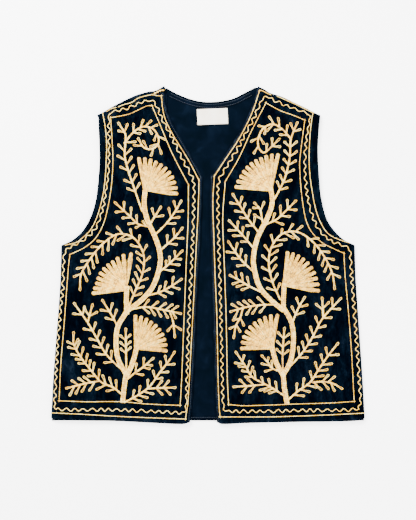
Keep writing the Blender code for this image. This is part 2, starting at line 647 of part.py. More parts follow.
def main():
    clear_scene()
    vest = bpy.data.collections.new("embroidered_folk_vest")
    bpy.context.scene.collection.children.link(vest)
    velvet = cloth_material("velvet")
    lining = cloth_material("lining")
    thread = cloth_material("thread")
    label = cloth_material("label")

    back_panel(velvet, vest)
    back_lining(lining, vest)
    neck_facing(lining, vest)
    neck_label(label, vest)
    right = front_panel("right_front", (RIGHT_SIDE, RIGHT_ARMHOLE_LOW, RIGHT_ARMHOLE_HIGH,
                                        RIGHT_FRONT_LOW, RIGHT_FRONT_HIGH, RIGHT_NECKLINE, RIGHT_HEM,
                                        RIGHT_SHOULDER), RIGHT_SWELLS, PLAIN_DROP, velvet, vest)
    left = front_panel("left_front", (LEFT_SIDE, LEFT_ARMHOLE_LOW, LEFT_ARMHOLE_HIGH, LEFT_FRONT_LOW,
                                      LEFT_FRONT_HIGH, LEFT_NECKLINE, LEFT_HEM, LEFT_SHOULDER),
                       LEFT_SWELLS, FRONT_TOP - ROLL_EDGE, velvet, vest)
    right_surface = surface_of(right)
    left_surface = surface_of(left)
    vine("right_vine", RIGHT_BOUGHS, RIGHT_FANS, RIGHT_SPRIGS, RIGHT_INNER_LINE, right_surface, thread,
         vest)
    vine("left_vine", LEFT_BOUGHS, LEFT_FANS, LEFT_SPRIGS, LEFT_INNER_LINE, left_surface, thread, vest)
    applique("right_outer_line", border_line(RIGHT_OUTER_LINE), right_surface, thread, vest)
    applique("left_outer_line", border_line(LEFT_OUTER_LINE), left_surface, thread, vest)
    applique("left_armhole_line", border_line(LEFT_ARMHOLE_LINE), left_surface, thread, vest)


main()
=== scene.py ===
"""Looks of an embroidered velvet folk vest that lies flat on its back.

Outlines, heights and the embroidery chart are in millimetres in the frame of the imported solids, and MM
turns them to metres. Right and left are the wearer's own, so the right front lies towards -X.
"""
import math

import bmesh
import bpy
import numpy as np
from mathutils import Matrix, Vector
from mathutils.bvhtree import BVHTree
from mathutils.kdtree import KDTree

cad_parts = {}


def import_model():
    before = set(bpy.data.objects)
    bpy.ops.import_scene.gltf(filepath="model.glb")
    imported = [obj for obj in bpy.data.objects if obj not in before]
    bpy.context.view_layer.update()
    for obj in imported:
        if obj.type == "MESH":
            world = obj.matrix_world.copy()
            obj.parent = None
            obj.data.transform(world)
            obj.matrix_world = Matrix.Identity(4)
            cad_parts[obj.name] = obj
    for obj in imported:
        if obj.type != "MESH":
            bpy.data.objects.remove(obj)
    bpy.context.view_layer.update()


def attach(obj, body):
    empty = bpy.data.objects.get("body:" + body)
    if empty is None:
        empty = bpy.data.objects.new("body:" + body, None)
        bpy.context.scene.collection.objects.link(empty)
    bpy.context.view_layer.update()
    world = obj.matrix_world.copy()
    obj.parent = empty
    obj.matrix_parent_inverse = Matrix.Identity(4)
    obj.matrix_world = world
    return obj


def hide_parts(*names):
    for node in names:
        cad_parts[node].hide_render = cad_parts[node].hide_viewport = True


MM = 0.001

# Heights of the tops of the cloth layers above the floor, and their walls.
LINING_TOP = 2.8
TRIM_TOP = 4.1
FRONT_TOP = 6.0
SHELL_WALL = 1.5
LINING_WALL = 0.8
TRIM_WALL = 0.6
FRONT_WALL = 1.6

# Over this distance the fronts' outer edges roll down to this height. The roll fades in this many rows of
# the armhole. The right front's shoulder only sinks a little, at its seam with the turned back.
ROLL_REACH = 5.0
ROLL_EDGE = 2.25
ROLL_FADE = 30
SEAM_DROP = 0.3

# How far the pile of the velvet stands out beyond the edge of its cloth, and how far the layers of the
# back stay inside the fronts' outline and the neckline. The hem of the back is straight.
PILE_REACH = 1.2
BACK_INSET = 1.2
LINING_INSET = 5.0
LINING_NECK_INSET = 1.2
BACK_HEM_Y = -268.3

# The turned shoulder in section, from the back up round the fold: distance inside the fold's outer edge,
# and height. Then how far beyond the front's own edge its seam lies, and how pale its pile is: partly
# wear, partly painted sheen where the fold catches light.
TURN_SECTION = ((4.0, 0.0), (2.3, 0.1), (1.1, 0.6), (0.35, 1.4), (0.0, 2.6), (0.05, 3.6), (0.5, 4.6),
                (1.1, 5.3), (1.8, 5.8))
TURN_SEAM = 0.65
FOLD_WEAR_AND_SHEEN = 0.8

# Grids of the panels: rows beside the side seam and the two parts of the armhole, columns, and the finer
# steps near the outer edge, the inner edge and the shoulder.
FRONT_ROWS = (112, 48, 46)
BACK_ROWS = (50, 22, 22)
FRONT_COLUMNS = 92
SHOULDER_COLUMNS = 25
NECK_COLUMNS = 61
OUTER_STEPS = (0, 0.25, 0.7, 1.4, 2.4, 3.6, 5.0)
INNER_STEPS = (0, 0.3, 0.9, 1.8, 3.0)
SHOULDER_STEPS = (1.6, 0.9, 0.35)

# How high the velvet puffs up between the stitches, and how far from them, how far from an edge the puff,
# the creases and the swells reach their full height, and the half width of a groove along stitching.
PUFF_RISE = 0.55
PUFF_REACH = 3.2
PUFF_FADE = 6
RELIEF_FADE = 8
SWELL_FADE = 25
GROOVE_REACH = 0.7

# Widths of the rows of stitches, and the gap between the three rows of a bough.
LINE_ROW = 1.2
RIM_ROW = 1.25
WAVE_ROW = 1.3
TWIG_ROW = 3.2
LEAF_ROW = 1.3
BOUGH_ROW = 2.9
BOUGH_GAP = 2.6
SHOULDER_ROW = 2.6
THREAD_WIDTH = 0.8

# Spacing of the stitches on lines and petals and on leaflets and waves, how much longer than that a link
# is, and the height of the yarn and of its foot. Sewing has a spacing, a length, a height and a lift, and
# its rows run this far inside the edges of the fronts.
CHAIN_STEP = 3.5
FINE_STEP = 1.9
LINK_OVERLAP = 1.12
YARN_HEIGHT = 1.15
YARN_LIFT = 0.25
SEWING_STITCH = (2.8, 2.2, 0.35, 0.05)
TOPSTITCH_INSET = 2.6

# Leaflets: length, half the distance between the two sides of the loop, angle from the stem, and the share
# of this angle that is left at the tip. Wave lines: length of one wave.
LEAF_LENGTH = 15.3
LEAF_SPREAD = 0.68
LEAF_LEAN = math.radians(51)
LEAF_CURVE = 0.92
WAVE_PERIOD = 13.5

# Petals: width, length of the slits between them, how much narrower they are at their seams, how far the
# last stitch's middle is from the end, points of a row, limits of the rows' widths, and numbers of rows
# with the shares of the petal's reach where they start and end.
PETAL_WIDTH = 6.0
PETAL_SLIT = 13.0
PETAL_SEAM = 0.07
PETAL_END = 1.4
PETAL_POINTS = 14
PETAL_ROW_WIDTHS = (1.3, 2.8)
PETAL_LANES = ((1, 0.06, 0.26), (3, 0.2, 0.56), (5, 0.5, 1.0))

# Neck label, and the neck facing: distance from the neckline and height of each row of its cloth, and
# distances of its two seams.
LABEL_CENTRE = (8.0, 224.6)
LABEL_SIZE = (49.5, 25.5)
LABEL_TURN = math.radians(2.4)
FACING_SECTION = ((LINING_NECK_INSET, 3.75), (1.6, 4.0), (2.2, 4.1), (3.0, 3.85), (4.4, 4.0), (6.0, 4.0),
                  (7.4, 4.1), (8.2, 3.95), (8.6, 3.7))
FACING_SEAMS = (3.0, 7.8)

# Camera, in metres: its height over the vest, the height of the picture, which is 520 pixels of 1.62 mm,
# and the picture's middle. Its sensor is in millimetres.
CAMERA_HEIGHT = 3.0
FRAME_TALL = 520 * 1.62 * MM
FRAME_CENTRE = (0.65 * MM, -7.9 * MM)
SENSOR = 36

# Light: strength of the surroundings and the floor's own glow, and watts of the two lamps.
SKY_STRENGTH = 1.5
FLOOR_GLOW = 3.0
WINDOW_POWER = 255
FILL_POWER = 76

# Outlines of the panels. Sides, armholes, front edges and necklines run up, and hems and shoulders run
# from the side to the front edge.
RIGHT_SIDE = [(-254.0, -264), (-250.5, -200), (-247, -150), (-243, -100), (-239, -40), (-237.5, 15)]
RIGHT_ARMHOLE_LOW = [(-237.5, 15), (-221, 22.8), (-204.4, 37), (-190.6, 59.6), (-181.6, 88), (-177.6, 118)]
RIGHT_ARMHOLE_HIGH = [(-177.6, 118), (-175.3, 150), (-175.6, 180), (-176.8, 206), (-177.2, 223)]
RIGHT_FRONT_LOW = [(-28.5, -271), (-25.5, -240), (-20.5, -150), (-17, -60), (-12, 20)]
RIGHT_FRONT_HIGH = [(-12, 20), (-10, 70), (-8.6, 127)]
RIGHT_NECKLINE = [(-8.6, 127), (-26.5, 160), (-49.5, 200), (-62, 224), (-68, 243), (-70.5, 262)]
RIGHT_HEM = [
    (-254, -264), (-246, -267), (-200, -268.3), (-150, -269), (-90, -272), (-40, -274), (-28.5, -271),
]
RIGHT_SHOULDER = [
    (-177.2, 223), (-166.5, 227.6), (-155.3, 234.4), (-132.3, 246.5), (-112.5, 255.4), (-95, 260.4),
    (-84, 261.6), (-70.5, 262),
]
LEFT_SIDE = [(255, -264), (251.5, -200), (248, -150), (244.5, -100), (240.5, -40), (238.5, 15)]
LEFT_ARMHOLE_LOW = [(238.5, 15), (222, 23), (205, 39), (192, 60), (183.5, 95), (181, 120)]
LEFT_ARMHOLE_HIGH = [(181, 120), (179, 150), (178.6, 175), (180, 200), (182.5, 226)]
LEFT_FRONT_LOW = [(15, -271), (12, -200), (10.3, -150), (7.5, -60), (5.5, 20)]
LEFT_FRONT_HIGH = [(5.5, 20), (4.5, 60), (4.2, 127)]
LEFT_NECKLINE = [(4.2, 127), (20, 149), (40, 180), (60, 214), (71, 239), (77, 256), (81, 273)]
LEFT_HEM = [
    (255, -264), (247, -268), (200, -270), (150, -270.5), (100, -271.5), (60, -272.5), (24, -274),
    (15, -271),
]
LEFT_SHOULDER = [
    (182.5, 226), (176, 228.5), (160, 237), (140, 246.5), (120, 256), (100, 262.5), (91, 268.5), (81, 273),
]

# The back's neckline from right to left, and the fold of its right shoulder from the armhole to the neck.
BACK_NECKLINE = [
    (-69.5, 271.5), (-54.5, 263), (-35, 254.5), (-16, 249), (4, 247.3), (24, 249), (43, 253.5), (62, 263),
    (79.5, 272),
]
BACK_RIGHT_FOLD = [
    (-179, 226.2), (-168, 231.2), (-157, 238), (-134, 250), (-114, 259), (-94, 264.4), (-84, 265.5),
    (-70, 273.5),
]

# Soft swells of the fronts: centre, half width and half length, and height.
RIGHT_SWELLS = (((-150, -120), (90, 120), 1.5), ((-95, 60), (70, 90), 1.3), ((-120, 180), (45, 45), 0.8))
LEFT_SWELLS = (((140, -110), (90, 120), 1.4), ((95, 70), (70, 90), 1.4), ((115, 185), (45, 45), 0.8))

# Boughs of the vine: each row is one thick stem through its knots.
RIGHT_BOUGHS = (
    ((-137.4, -237.4), (-135.2, -214), (-132, -193)),
    ((-132, -193), (-144.8, -168.5), (-148.3, -140), (-145, -115), (-134, -96), (-129, -86)),
    ((-131, -94), (-131.5, -75), (-131, -52)),
    ((-130, -90), (-106.8, -72.6), (-89.2, -51.6), (-78.6, -23), (-76.7, 0), (-84.6, 28), (-97.6, 57),
     (-102.6, 82), (-101, 107)),
    ((-131, -196), (-122, -176), (-114.5, -148)),
)
LEFT_BOUGHS = (
    ((128.4, -239.6), (124, -212), (122.5, -194)),
    ((122.5, -194), (134, -172), (139, -140), (136, -110), (126, -90), (120, -82)),
    ((122.5, -88), (123, -68), (124, -47)),
    ((122, -89), (102, -72.2), (85, -52.8), (75.5, -22.5), (74.5, 0), (81.7, 30), (96.7, 60), (104.6, 85),
     (102, 109)),
    ((122, -194), (111, -174), (104, -147)),
)

# Fan flowers: base, reach of the first, middle and last petals, first and last petal in degrees from
# +X, petals, whether the first and the last petal keep their full width down to the base, and how many
# degrees those in the middle lean over.
RIGHT_FANS = (
    ((-101, 104), (55, 51.3, 53), 101, -4.8, 11, (True, False)),
    ((-131, -55), (59, 51.4, 56.5), 83, 187, 11, (False, True), 3.5),
    ((-116, -150), (53, 50, 51), 91, -5.5, 10, (True, True)),
)
LEFT_FANS = (
    ((102, 106), (59.5, 54.3, 58), 78, 175.5, 11, (True, True)),
    ((124, -50), (56, 55.3, 58), 84, -8, 10, (True, False), 1.0),
    ((104, -150), (55, 50.5, 50.5), 80.5, 181.3, 10, (True, True)),
)

# Leafy sprigs: knots of the stem from root to tip, then how far along it each leaflet grows out, first
# those on its left and then those on its right, and the lengths of either side where they aren't usual.
# A pair is one leaflet's place and its own length.
RIGHT_SPRIGS = {
    "armhole": (((-106.3, 72), (-113, 91), (-118.7, 108), (-127, 132), (-134, 160), (-132.8, 186),
         (-133.3, 196), (-145, 215)), (32.5, 47, 69, 86, 101, (132, 11)), (34, 49, 65, 79, 94.5, 132)),
    "shoulder": (((-134, 182), (-120.5, 198.5), (-104, 208), (-88, 204), (-79.5, 190), (-81, 178),
         (-93, 171.5), (-104, 175), (-113, 190)), (22, 36, 44, (53, 12), 72, (85, 16.5), 95, 115),
        ((1, 17.5), 21.5, 31, 49, 67, (84, 15), (105.5, 15)), 14, 13),
    "chest": (((-94, 46), (-112, 50), (-126, 63), (-151, 86)), ((15, 9), (23, 13.5), 35, 50),
        ((6, 10), (21.5, 14), (36, 16.5), 51)),
    "chest_fork": (((-93, 50), (-87, 60), (-75, 79)), (14,), (14,)),
    "front_top": (((-85, 33), (-66, 52), (-53, 70), (-42, 89)), ((38, 16.5), 54), (26, 37, (49, 14))),
    "front_upper": (((-77, 7), (-66, 17), (-54, 28), (-40, 45)), (16, 32), (18, 31)),
    "front_middle": (((-80, -29), (-61, -13), (-40, 8)), ((16.5, 10.5), 24.5, (37, 11.5)),
        ((10, 18.5), (23.5, 17), (35, 11)), 12),
    "front_lower": (((-101, -66), (-80, -61), (-60, -51), (-41, -38)), ((21, 13), 32, 47), (21.5, 32, 45)),
    "arch": (((-128, -84), (-118, -60), (-105, -28), (-104, 2), (-120, 28), (-145, 34), (-170, 18),
         (-190, -6), (-205, -32), (-206.5, -57.5)),
        ((22, 14), (34, 15), (45, 17), (58, 17), (73, 16.5), (86, 15.5), 102, 123, 135.5, 151, (165.5, 20),
         179, 196, 207, 219, 233),
        ((19, 15), 32, 46, 60.5, 78, 94, 111, 125, (141, 15.5), 156, 173.5, 185.5, (199, 15), 213, 226,
         238), 18, 13.5),
    "side_hang": (((-120, -87), (-100, -84), (-75, -88), (-42, -95)), (16.5, 29, 41, 52, 61.5),
        (15, 27, 38, 49, (64, 12)), 15.5, 15.5),
    "side_drop": (((-61, -92), (-56, -108), (-53, -134)), (22,), (21,)),
    "centre": (((-131.5, -190), (-132, -160), (-132.5, -118)), (31, 41, 52), (34, 43.5, 54.5), 12.5, 11),
    "hip": (((-147, -113), (-155, -98), (-171, -72)), (9, 25), (12, 24)),
    "waist": (((-138, -186), (-150, -175.5), (-165, -159.5), (-182, -130), (-195, -108), (-217, -77)),
        (20, (36, 17), 49, 62, 81, 112), (25, 38, 52.5, 66, 80, 111)),
    "waist_twig": (((-194, -109), (-191, -97), (-186, -79)), (11,), (11,)),
    "corner": (((-139, -226), (-152, -215), (-172, -206), (-188, -188), (-207, -163), (-217, -143),
         (-217, -124)), ((14, 16), (31, 18), (53, 13), 64, (79, 12), (87, 12), 95, (107, 13.5), (115, 12)),
        (12, 20, 31, 46, 61, (70, 14), 79, (92, 17.5), 106, (113, 13)), 14.5, 16),
    "corner_twig": (((-176, -204), (-198, -208), (-230, -216)), (7, 20.5, 31, 41), (13.5, 22, (34, 14)),
        17, 15.5),
    "base": (((-134, -238), (-122, -232), (-110, -225), (-94, -213), (-78, -191), (-64, -173),
         (-53, -156)), (14, 26, 44, 63, 81, 94), (14, 24.5, 35, (63, 12.5), (76, 14), (92, 15)), 14, 16.5),
    "base_twig": (((-98, -216.3), (-80, -215.5), (-51, -214.5)), (15, 26), (15, 28)),
    "fork_twig": (((-129, -200), (-118, -191), (-104, -181), (-87, -166)), (16, 32),
        (14, (30, 12.5), (37, 11))),
}
LEFT_SPRIGS = {
    "armhole": (((108, 90), (116, 105), (126, 127), (133, 158), (135, 188), (146, 216)),
        (20, 32, 46, 61, 75, 90, 118), (18, 31, 47, 61, 75, 90, (116, 12)), 13.5, 14.5),
    "shoulder": (((134, 189), (122, 203), (106, 212), (90, 205), (82, 188), (83, 174), (91, 166),
         (104, 176), (117, 189)), (7, 20.5, (36.5, 16), 50.5, (69, 16), 105, 118),
        (11, (26, 15.5), (35.5, 15.5), (51.5, 12), 72, 86, 118), 13, 14),
    "chest": (((93, 49), (112, 58), (127, 72), (144, 89)), (13, (30, 16.5), 46), ((16, 16.5), 30, 45)),
    "chest_fork": (((89, 54), (87, 65), (85, 74), (75, 85.5)), (4, (23, 10)), (19,)),
    "front_top": (((81, 39), (66, 58), (53, 79), (40, 100)), ((11, 11.5), (26, 13), 37.5, 53),
        (11, 26, (41, 13), 51.5)),
    "front_upper": (((72, 14), (57, 32), (34, 57)), ((10, 12.5), 23, 35), (13, 25, 37), 16.5, 13.5),
    "front_middle": (((71, -24), (53, -6), (33, 23)), (12, (26, 13.5), 37.5), (13.5, 27, 40)),
    "front_lower": (((85, -59), (67, -50), (50, -40), (35, -32)), (18, 27, 35.5), (20, 31.5, (43, 12))),
    "arch": (((117, -71), (106, -46), (99, -14), (104, 14), (122, 35), (147, 37), (172, 20), (190, -4),
         (202, -30), (206, -56)),
        (15, 30, 47.5, 64, 79, 95, (114, 9.5), 126, 138, 165, 179, 191, 204, 218, 232),
        ((13.5, 15), (30, 16.5), 44.5, 59, 73, 87, 101, 119.5, 131, (160, 15), (176, 15), (190.5, 15.5),
         (203, 15.5), (214, 16), (229, 16)), 15, 18),
    "side_hang": (((107, -80), (85, -81), (60, -85), (36, -92)), (12.5, 25.5, 36, 58),
        ((14.5, 18), 29.5, 38, 47, 56.5), 17, 15),
    "side_drop": (((57, -87), (53, -101), (46, -114), (42, -135)), (15, 28), (17, 30), 14.5, 12),
    "centre": (((122, -190), (121.5, -160), (124.5, -117)), (29, 41, 55.5), (28, 42, 55.5), 14, 13),
    "hip": (((138, -108), (143, -95), (149, -82), (158, -67)), (13, 28), (12, 26)),
    "waist": (((136, -178), (155, -156), (171, -131), (186, -103), (217, -69)),
        (19.5, 32, 45, 60, 79, 95, 116), (16.5, 29, 42, 56, 73, 92, 112)),
    "waist_twig": (((187, -101), (186.5, -88), (185.5, -68)), (13,), (15,)),
    "corner": (((131, -234), (147, -220), (166, -206), (180, -185), (196, -162), (212, -142)),
        (18, (30, 16), 50.5, 67.5, 83, 96), (12, 25.5, 38, 55.5, 67, 79, 98), 15, 17),
    "corner_twig": (((170, -206), (188, -205), (203, -208), (219, -217)), (16, 25), ((2, 18), 16.5, 30)),
    "base": (((126, -229), (104, -215), (92, -208.5), (79, -202), (71, -196), (62, -181), (45, -156)),
        ((17, 14), 24, (30, 17.5), (63, 11), (72, 12.5), (81, 13), 87.5),
        ((16.5, 15.5), 29, (42, 10.5), 56, 67, 78, (92, 12)), 16, 14.5),
    "base_twig": (((92, -209.5), (74, -211.3), (41, -213.5)), (16, 28), (17, 30)),
    "fork_twig": (((116, -188), (104, -183), (98, -174), (87, -162)), (11, 18.5),
        ((12.5, 12.5), (25, 8.5)), 14, 10),
}

# Plain lines of the border: each row is one stretch, and most stretches meet at corners.
RIGHT_INNER_LINE = (
    ((-44.5, -243.5), (-100, -241), (-140, -237.5), (-200, -237.5), (-240.5, -236)),
    ((-240.5, -236), (-238, -180), (-231.5, -100), (-225.5, -20), (-223, 1)),
    ((-223, 1), (-200, 12), (-182, 27), (-169, 50), (-161, 80), (-155, 120), (-153.5, 160), (-157, 222.5)),
    ((-157, 222.5), (-128, 228.3), (-110, 236.2), (-98, 241.8), (-90, 242)),
    ((-90, 242), (-74, 204), (-57.5, 165), (-31, 114)),
    ((-31, 114), (-31.5, 60), (-34, 0), (-38, -100), (-42, -200), (-44.5, -243.5)),
)
RIGHT_OUTER_LINE = (
    ((-252, -255.5), (-200, -258), (-150, -261), (-80, -264), (-36, -265.5)),
    ((-36, -265.5), (-32, -240), (-26.5, -145), (-22, -60), (-18, 20), (-15, 80), (-14, 121.5)),
    ((-14, 121.5), (-30, 152), (-60, 202), (-71, 228), (-75, 258)),
    ((-75, 258), (-82, 258.3), (-88, 260), (-98, 258.5), (-106, 256.5), (-113, 254), (-124, 247),
     (-134, 244.5), (-147, 239.5), (-157, 237), (-162, 233.5)),
    ((-170, 230), (-167, 215), (-164, 190), (-163.7, 165), (-167.5, 110), (-177, 68), (-189, 42),
     (-205, 26), (-213, 20.5), (-229, 16.5)),
)
LEFT_INNER_LINE = (
    ((34, -242), (60, -244), (150, -241), (200, -239.5), (237.5, -237)),
    ((237.5, -237), (233, -155), (228, -90), (222.5, -30), (221, 3)),
    ((221, 3), (205, 10), (182, 23), (163, 47), (154, 85), (149, 145), (150.5, 165), (157.5, 218.5)),
    ((157.5, 218.5), (140, 226), (118, 234), (94.5, 246.5)),
    ((94.5, 246.5), (70, 199), (50, 156), (28.5, 119)),
    ((28.5, 119), (24.5, 60), (26.5, 0), (30, -100), (32, -200), (34, -242)),
)
LEFT_OUTER_LINE = (
    ((253, -256), (180, -259.5), (100, -262), (20, -262)),
    ((20, -262), (18.5, -240), (17, -200), (15, -100), (12, -30), (10.5, 20), (8.5, 80), (9, 100),
     (11, 128)),
    ((11, 128), (30, 157), (50, 187), (66, 217), (75, 238), (79, 250), (84, 266)),
)
LEFT_ARMHOLE_LINE = (
    ((171, 231), (169, 222), (166, 195), (164.5, 160), (165.5, 132), (170, 100), (175, 75), (183, 53),
     (195, 35), (212, 25.5), (228, 20.5)),
)

# Border line of the back where its shoulder turns to the front, and of the left shoulder's edge.
BACK_SHOULDER_LINE = (((-85, 262.6), (-82, 263.6), (-78, 266), (-72.5, 267)),)
LEFT_SHOULDER_LINE = (((84, 266), (88, 266.6), (92, 264.5), (97, 262)),)
LEFT_RIM_LINE = (
    ((97, 262), (101, 260.5)),
    ((114, 257), (123, 253), (131, 249.2)),
    ((131, 249.8), (145, 243.3), (170, 231)),
)

# Wave line of each border, round the panel from the hem's outer corner: its middle and its swing.
RIGHT_WAVE = (
    (-245, -249.5, 1.6), (-225, -250.5, 2.2), (-150, -250.7, 2.2), (-100, -252.7, 2.2), (-60, -254.7, 2.2),
    (-40, -255.5, 1.6), (-35.5, -251, 1.4), (-33.4, -200, 1.9), (-30.2, -100, 1.9), (-25.2, 0, 1.9),
    (-21.9, 100, 1.9), (-22.5, 117, 1.8), (-26, 128, 1.8), (-40, 154, 2.2), (-57, 189, 2.2),
    (-73, 219, 2.0), (-83, 242, 1.6), (-88.5, 249.5, 1.0), (-100, 249.5, 1.9), (-113, 245, 2.0),
    (-127, 239, 1.9), (-141, 235, 1.9), (-155, 232, 1.2), (-159.3, 226, 1.2), (-159.8, 200, 2.2),
    (-159.8, 165, 1.5), (-161, 130, 1.2), (-165.4, 100, 1.4), (-170.8, 71, 1.7), (-183, 41.5, 1.9),
    (-205, 22, 2.0), (-223, 12.5, 1.6), (-231.5, 4, 1.4), (-234.5, -50, 2.2), (-239.5, -100, 2.2),
    (-243.5, -150, 2.2), (-247, -225, 2.0), (-248, -244, 1.4), (-245, -249.5, 1.6),
)
LEFT_WAVE = (
    (244, -249, 1.6), (225, -251, 2.2), (150, -251.5, 2.2), (100, -253, 2.2), (50, -253, 2.2),
    (31, -252.5, 1.6), (26, -248, 1.4), (24, -200, 1.9), (22, -120, 1.9), (20, -40, 1.9), (18, 20, 1.9),
    (17, 60, 1.9), (17, 112, 1.8), (21, 127, 1.8), (35, 150, 2.2), (50, 175, 2.2), (62, 198, 2.2),
    (75, 222, 2.0), (84, 243, 1.8), (91, 255, 1.2), (97, 256.5, 1.2), (105, 252, 1.9), (128, 242, 2.0),
    (152, 233, 1.7), (163, 228.5, 1.0), (165.5, 221, 1.0), (161, 195, 1.6), (158, 165, 1.7),
    (158, 130, 1.7), (163, 88, 1.8), (172, 58, 1.8), (182, 39, 1.9), (201, 22.5, 1.9), (220, 15.5, 1.6),
    (230, 9, 1.4), (231.5, -5, 1.8), (234.5, -50, 2.2), (238.5, -100, 2.2), (244, -180, 2.2),
    (247.5, -238, 1.6), (244, -249, 1.6),
)

# Soft creases of the cloth: start, end, half width and height, which is negative in a trough.
RIGHT_CREASES = (
    ((-118, 238), (-86, 212), 5, 0.7), ((-104, 236), (-74, 196), 4, -0.6),
    ((-84, 190), (-62, 150), 5, 0.6), ((-170, 180), (-140, 120), 9, 0.6), ((-60, 110), (-44, 20), 8, -0.5),
    ((-190, -20), (-150, -70), 10, 0.6), ((-225, -40), (-236, -170), 8, -0.5),
    ((-70, -110), (-52, -200), 9, 0.5), ((-200, -150), (-170, -230), 8, -0.5),
    ((-150, 60), (-128, -20), 8, -0.5), ((-96, 20), (-70, -20), 7, 0.5),
)
LEFT_CREASES = (
    ((147, 58), (153, 78), 5, 0.8), ((136, 22), (126, 8), 5, 0.7), ((100, 240), (84, 200), 5, -0.6),
    ((150, 210), (120, 150), 8, 0.6), ((60, 120), (40, 30), 8, -0.5), ((190, -20), (160, -90), 10, 0.6),
    ((228, -40), (238, -180), 8, -0.5), ((60, -100), (46, -200), 9, 0.6),
    ((170, -150), (200, -230), 8, 0.5), ((110, 60), (90, 0), 7, -0.5),
)
LINING_CREASES = (
    ((-60, 246), (-10, 196), 5, 0.5), ((-44, 252), (-4, 214), 4, -0.4), ((66, 250), (20, 190), 6, 0.5),
    ((50, 246), (34, 206), 4, -0.4), ((-20, 196), (14, 150), 7, 0.5), ((-10, 120), (2, 40), 4, 0.6),
    ((-4, 60), (-12, -60), 4, 0.5), ((-14, -60), (8, -190), 5, 0.6), ((-22, -180), (4, -262), 5, -0.4),
)


def smooth(knots, spacing=1.5):
    """Points about every `spacing` along a smooth curve through the knots, as rows of x and y."""
    knots = np.array(knots, dtype=float)
    lengths = np.linalg.norm(np.diff(knots, axis=0), axis=1)
    tangents = []
    for i in range(len(knots)):
        before, after = max(i - 1, 0), min(i + 1, len(knots) - 1)
        tangents.append((knots[after] - knots[before]) / lengths[before:after].sum())
    parts = [knots[:1]]
    for i, length in enumerate(lengths):
        steps = max(1, round(length / spacing))
        t = (np.arange(steps) + 1)[:, None] / steps
        blend = 3 * t ** 2 - 2 * t ** 3
        parts.append(knots[i] * (1 - blend) + knots[i + 1] * blend
                     + tangents[i] * (t - 2 * t ** 2 + t ** 3) * length
                     + tangents[i + 1] * (t ** 3 - t ** 2) * length)
    return np.vstack(parts)


def lengths_along(course):
    """Distance of each point of a course from its start."""
    return np.concatenate([[0.0], np.cumsum(np.linalg.norm(np.diff(course, axis=0), axis=1))])


def shares_along(course):
    """How far along a course each of its points is, as a share of its length."""
    reached = lengths_along(course)
    return reached / reached[-1]


def at(course, distances):
    """Points at distances along a course."""
    reached = lengths_along(course)
    return np.stack([np.interp(distances, reached, course[:, 0]),
                     np.interp(distances, reached, course[:, 1])], axis=1)


def divide(knots, shares):
    """Points at shares of the length of a smooth curve."""
    course = smooth(knots)
    return at(course, np.asarray(shares) * lengths_along(course)[-1])


def normals(course):
    """Unit directions to the left of a course at its points."""
    along = np.gradient(course, axis=0)
    along /= np.linalg.norm(along, axis=1)[:, None] + 1e-9
    return np.stack([-along[:, 1], along[:, 0]], axis=1)


def aside(course, distance):
    """A course moved to its left."""
    return course + normals(course) * distance


def joined(*stretches):
    """Stretches of an edge joined at their corners: pairs of knots and a number of rows."""
    parts = []
    for knots, count in stretches:
        part = divide(knots, np.linspace(0, 1, count + 1))
        parts.append(part if not parts else part[1:])
    return np.vstack(parts)


def coons(left, right, bottom, top, across_shares, up_shares):
    """Grid of points, by row and column, between four edges that meet at their ends."""
    u = np.asarray(across_shares)[None, :, None]
    v = np.asarray(up_shares)[:, None, None]
    across = left[:, None] * (1 - u) + right[:, None] * u
    along = bottom[None] * (1 - v) + top[None] * v
    corners = ((left[0] * (1 - u) + right[0] * u) * (1 - v) + (left[-1] * (1 - u) + right[-1] * u) * v)
    return across + along - corners


def edge_shares(width, near, far, count):
    """Shares from 0 to 1 with extra steps, given in millimetres, near the two ends."""
    low = [step / width for step in near]
    high = [1 - step / width for step in reversed(far)]
    return low + list(np.linspace(low[-1], high[0], count)[1:-1]) + high


def placed(name, data):
    """A new object in the scene."""
    piece = bpy.data.objects.new(name, data)
    bpy.context.scene.collection.objects.link(piece)
    return piece


def mesh_piece(name, places, faces, material=None, edges=()):
    """A smooth mesh object."""
    mesh = bpy.data.meshes.new(name)
    mesh.from_pydata(places, edges, faces)
    if material is not None:
        mesh.materials.append(material)
    mesh.shade_smooth()
    return placed(name, mesh)


def quads(index, flip=False):
    """Faces between the rows and columns of a grid of point numbers."""
    corners = [index[:-1, :-1], index[:-1, 1:], index[1:, 1:], index[1:, :-1]]
    if flip:
        corners.reverse()
    return np.stack(corners, axis=-1).reshape(-1, 4).tolist()


def grid_mesh(name, points, material, flip=False):
    """A mesh object from a grid of points in millimetres, by row, column and axis."""
    index = np.arange(points[..., 0].size).reshape(points.shape[:2])
    return mesh_piece(name, (points.reshape(-1, 3) * MM).tolist(), quads(index, flip), material)


def give_wall(piece, thickness):
    """Turn an open surface into a cloth wall on its inner side."""
    wall = piece.modifiers.new("wall", "SOLIDIFY")
    wall.thickness = thickness * MM
    wall.offset = -1.0


def roll_drop(distance, drop):
    """How far cloth has come down at a distance from the edge of its fold."""
    inside = np.clip(distance / ROLL_REACH, 0, 1)
    return drop * (1 - np.sqrt(np.clip(1 - (1 - inside) ** 2, 0, 1)))


def swell(x, y, swells):
    """Height of the broad swells of a front."""
    height = np.zeros_like(x)
    for (cx, cy), (half_width, half_length), rise in swells:
        away = np.clip(np.hypot((x - cx) / half_width, (y - cy) / half_length), 0, 1)
        height += rise * np.cos(away * math.pi / 2) ** 2
    return height


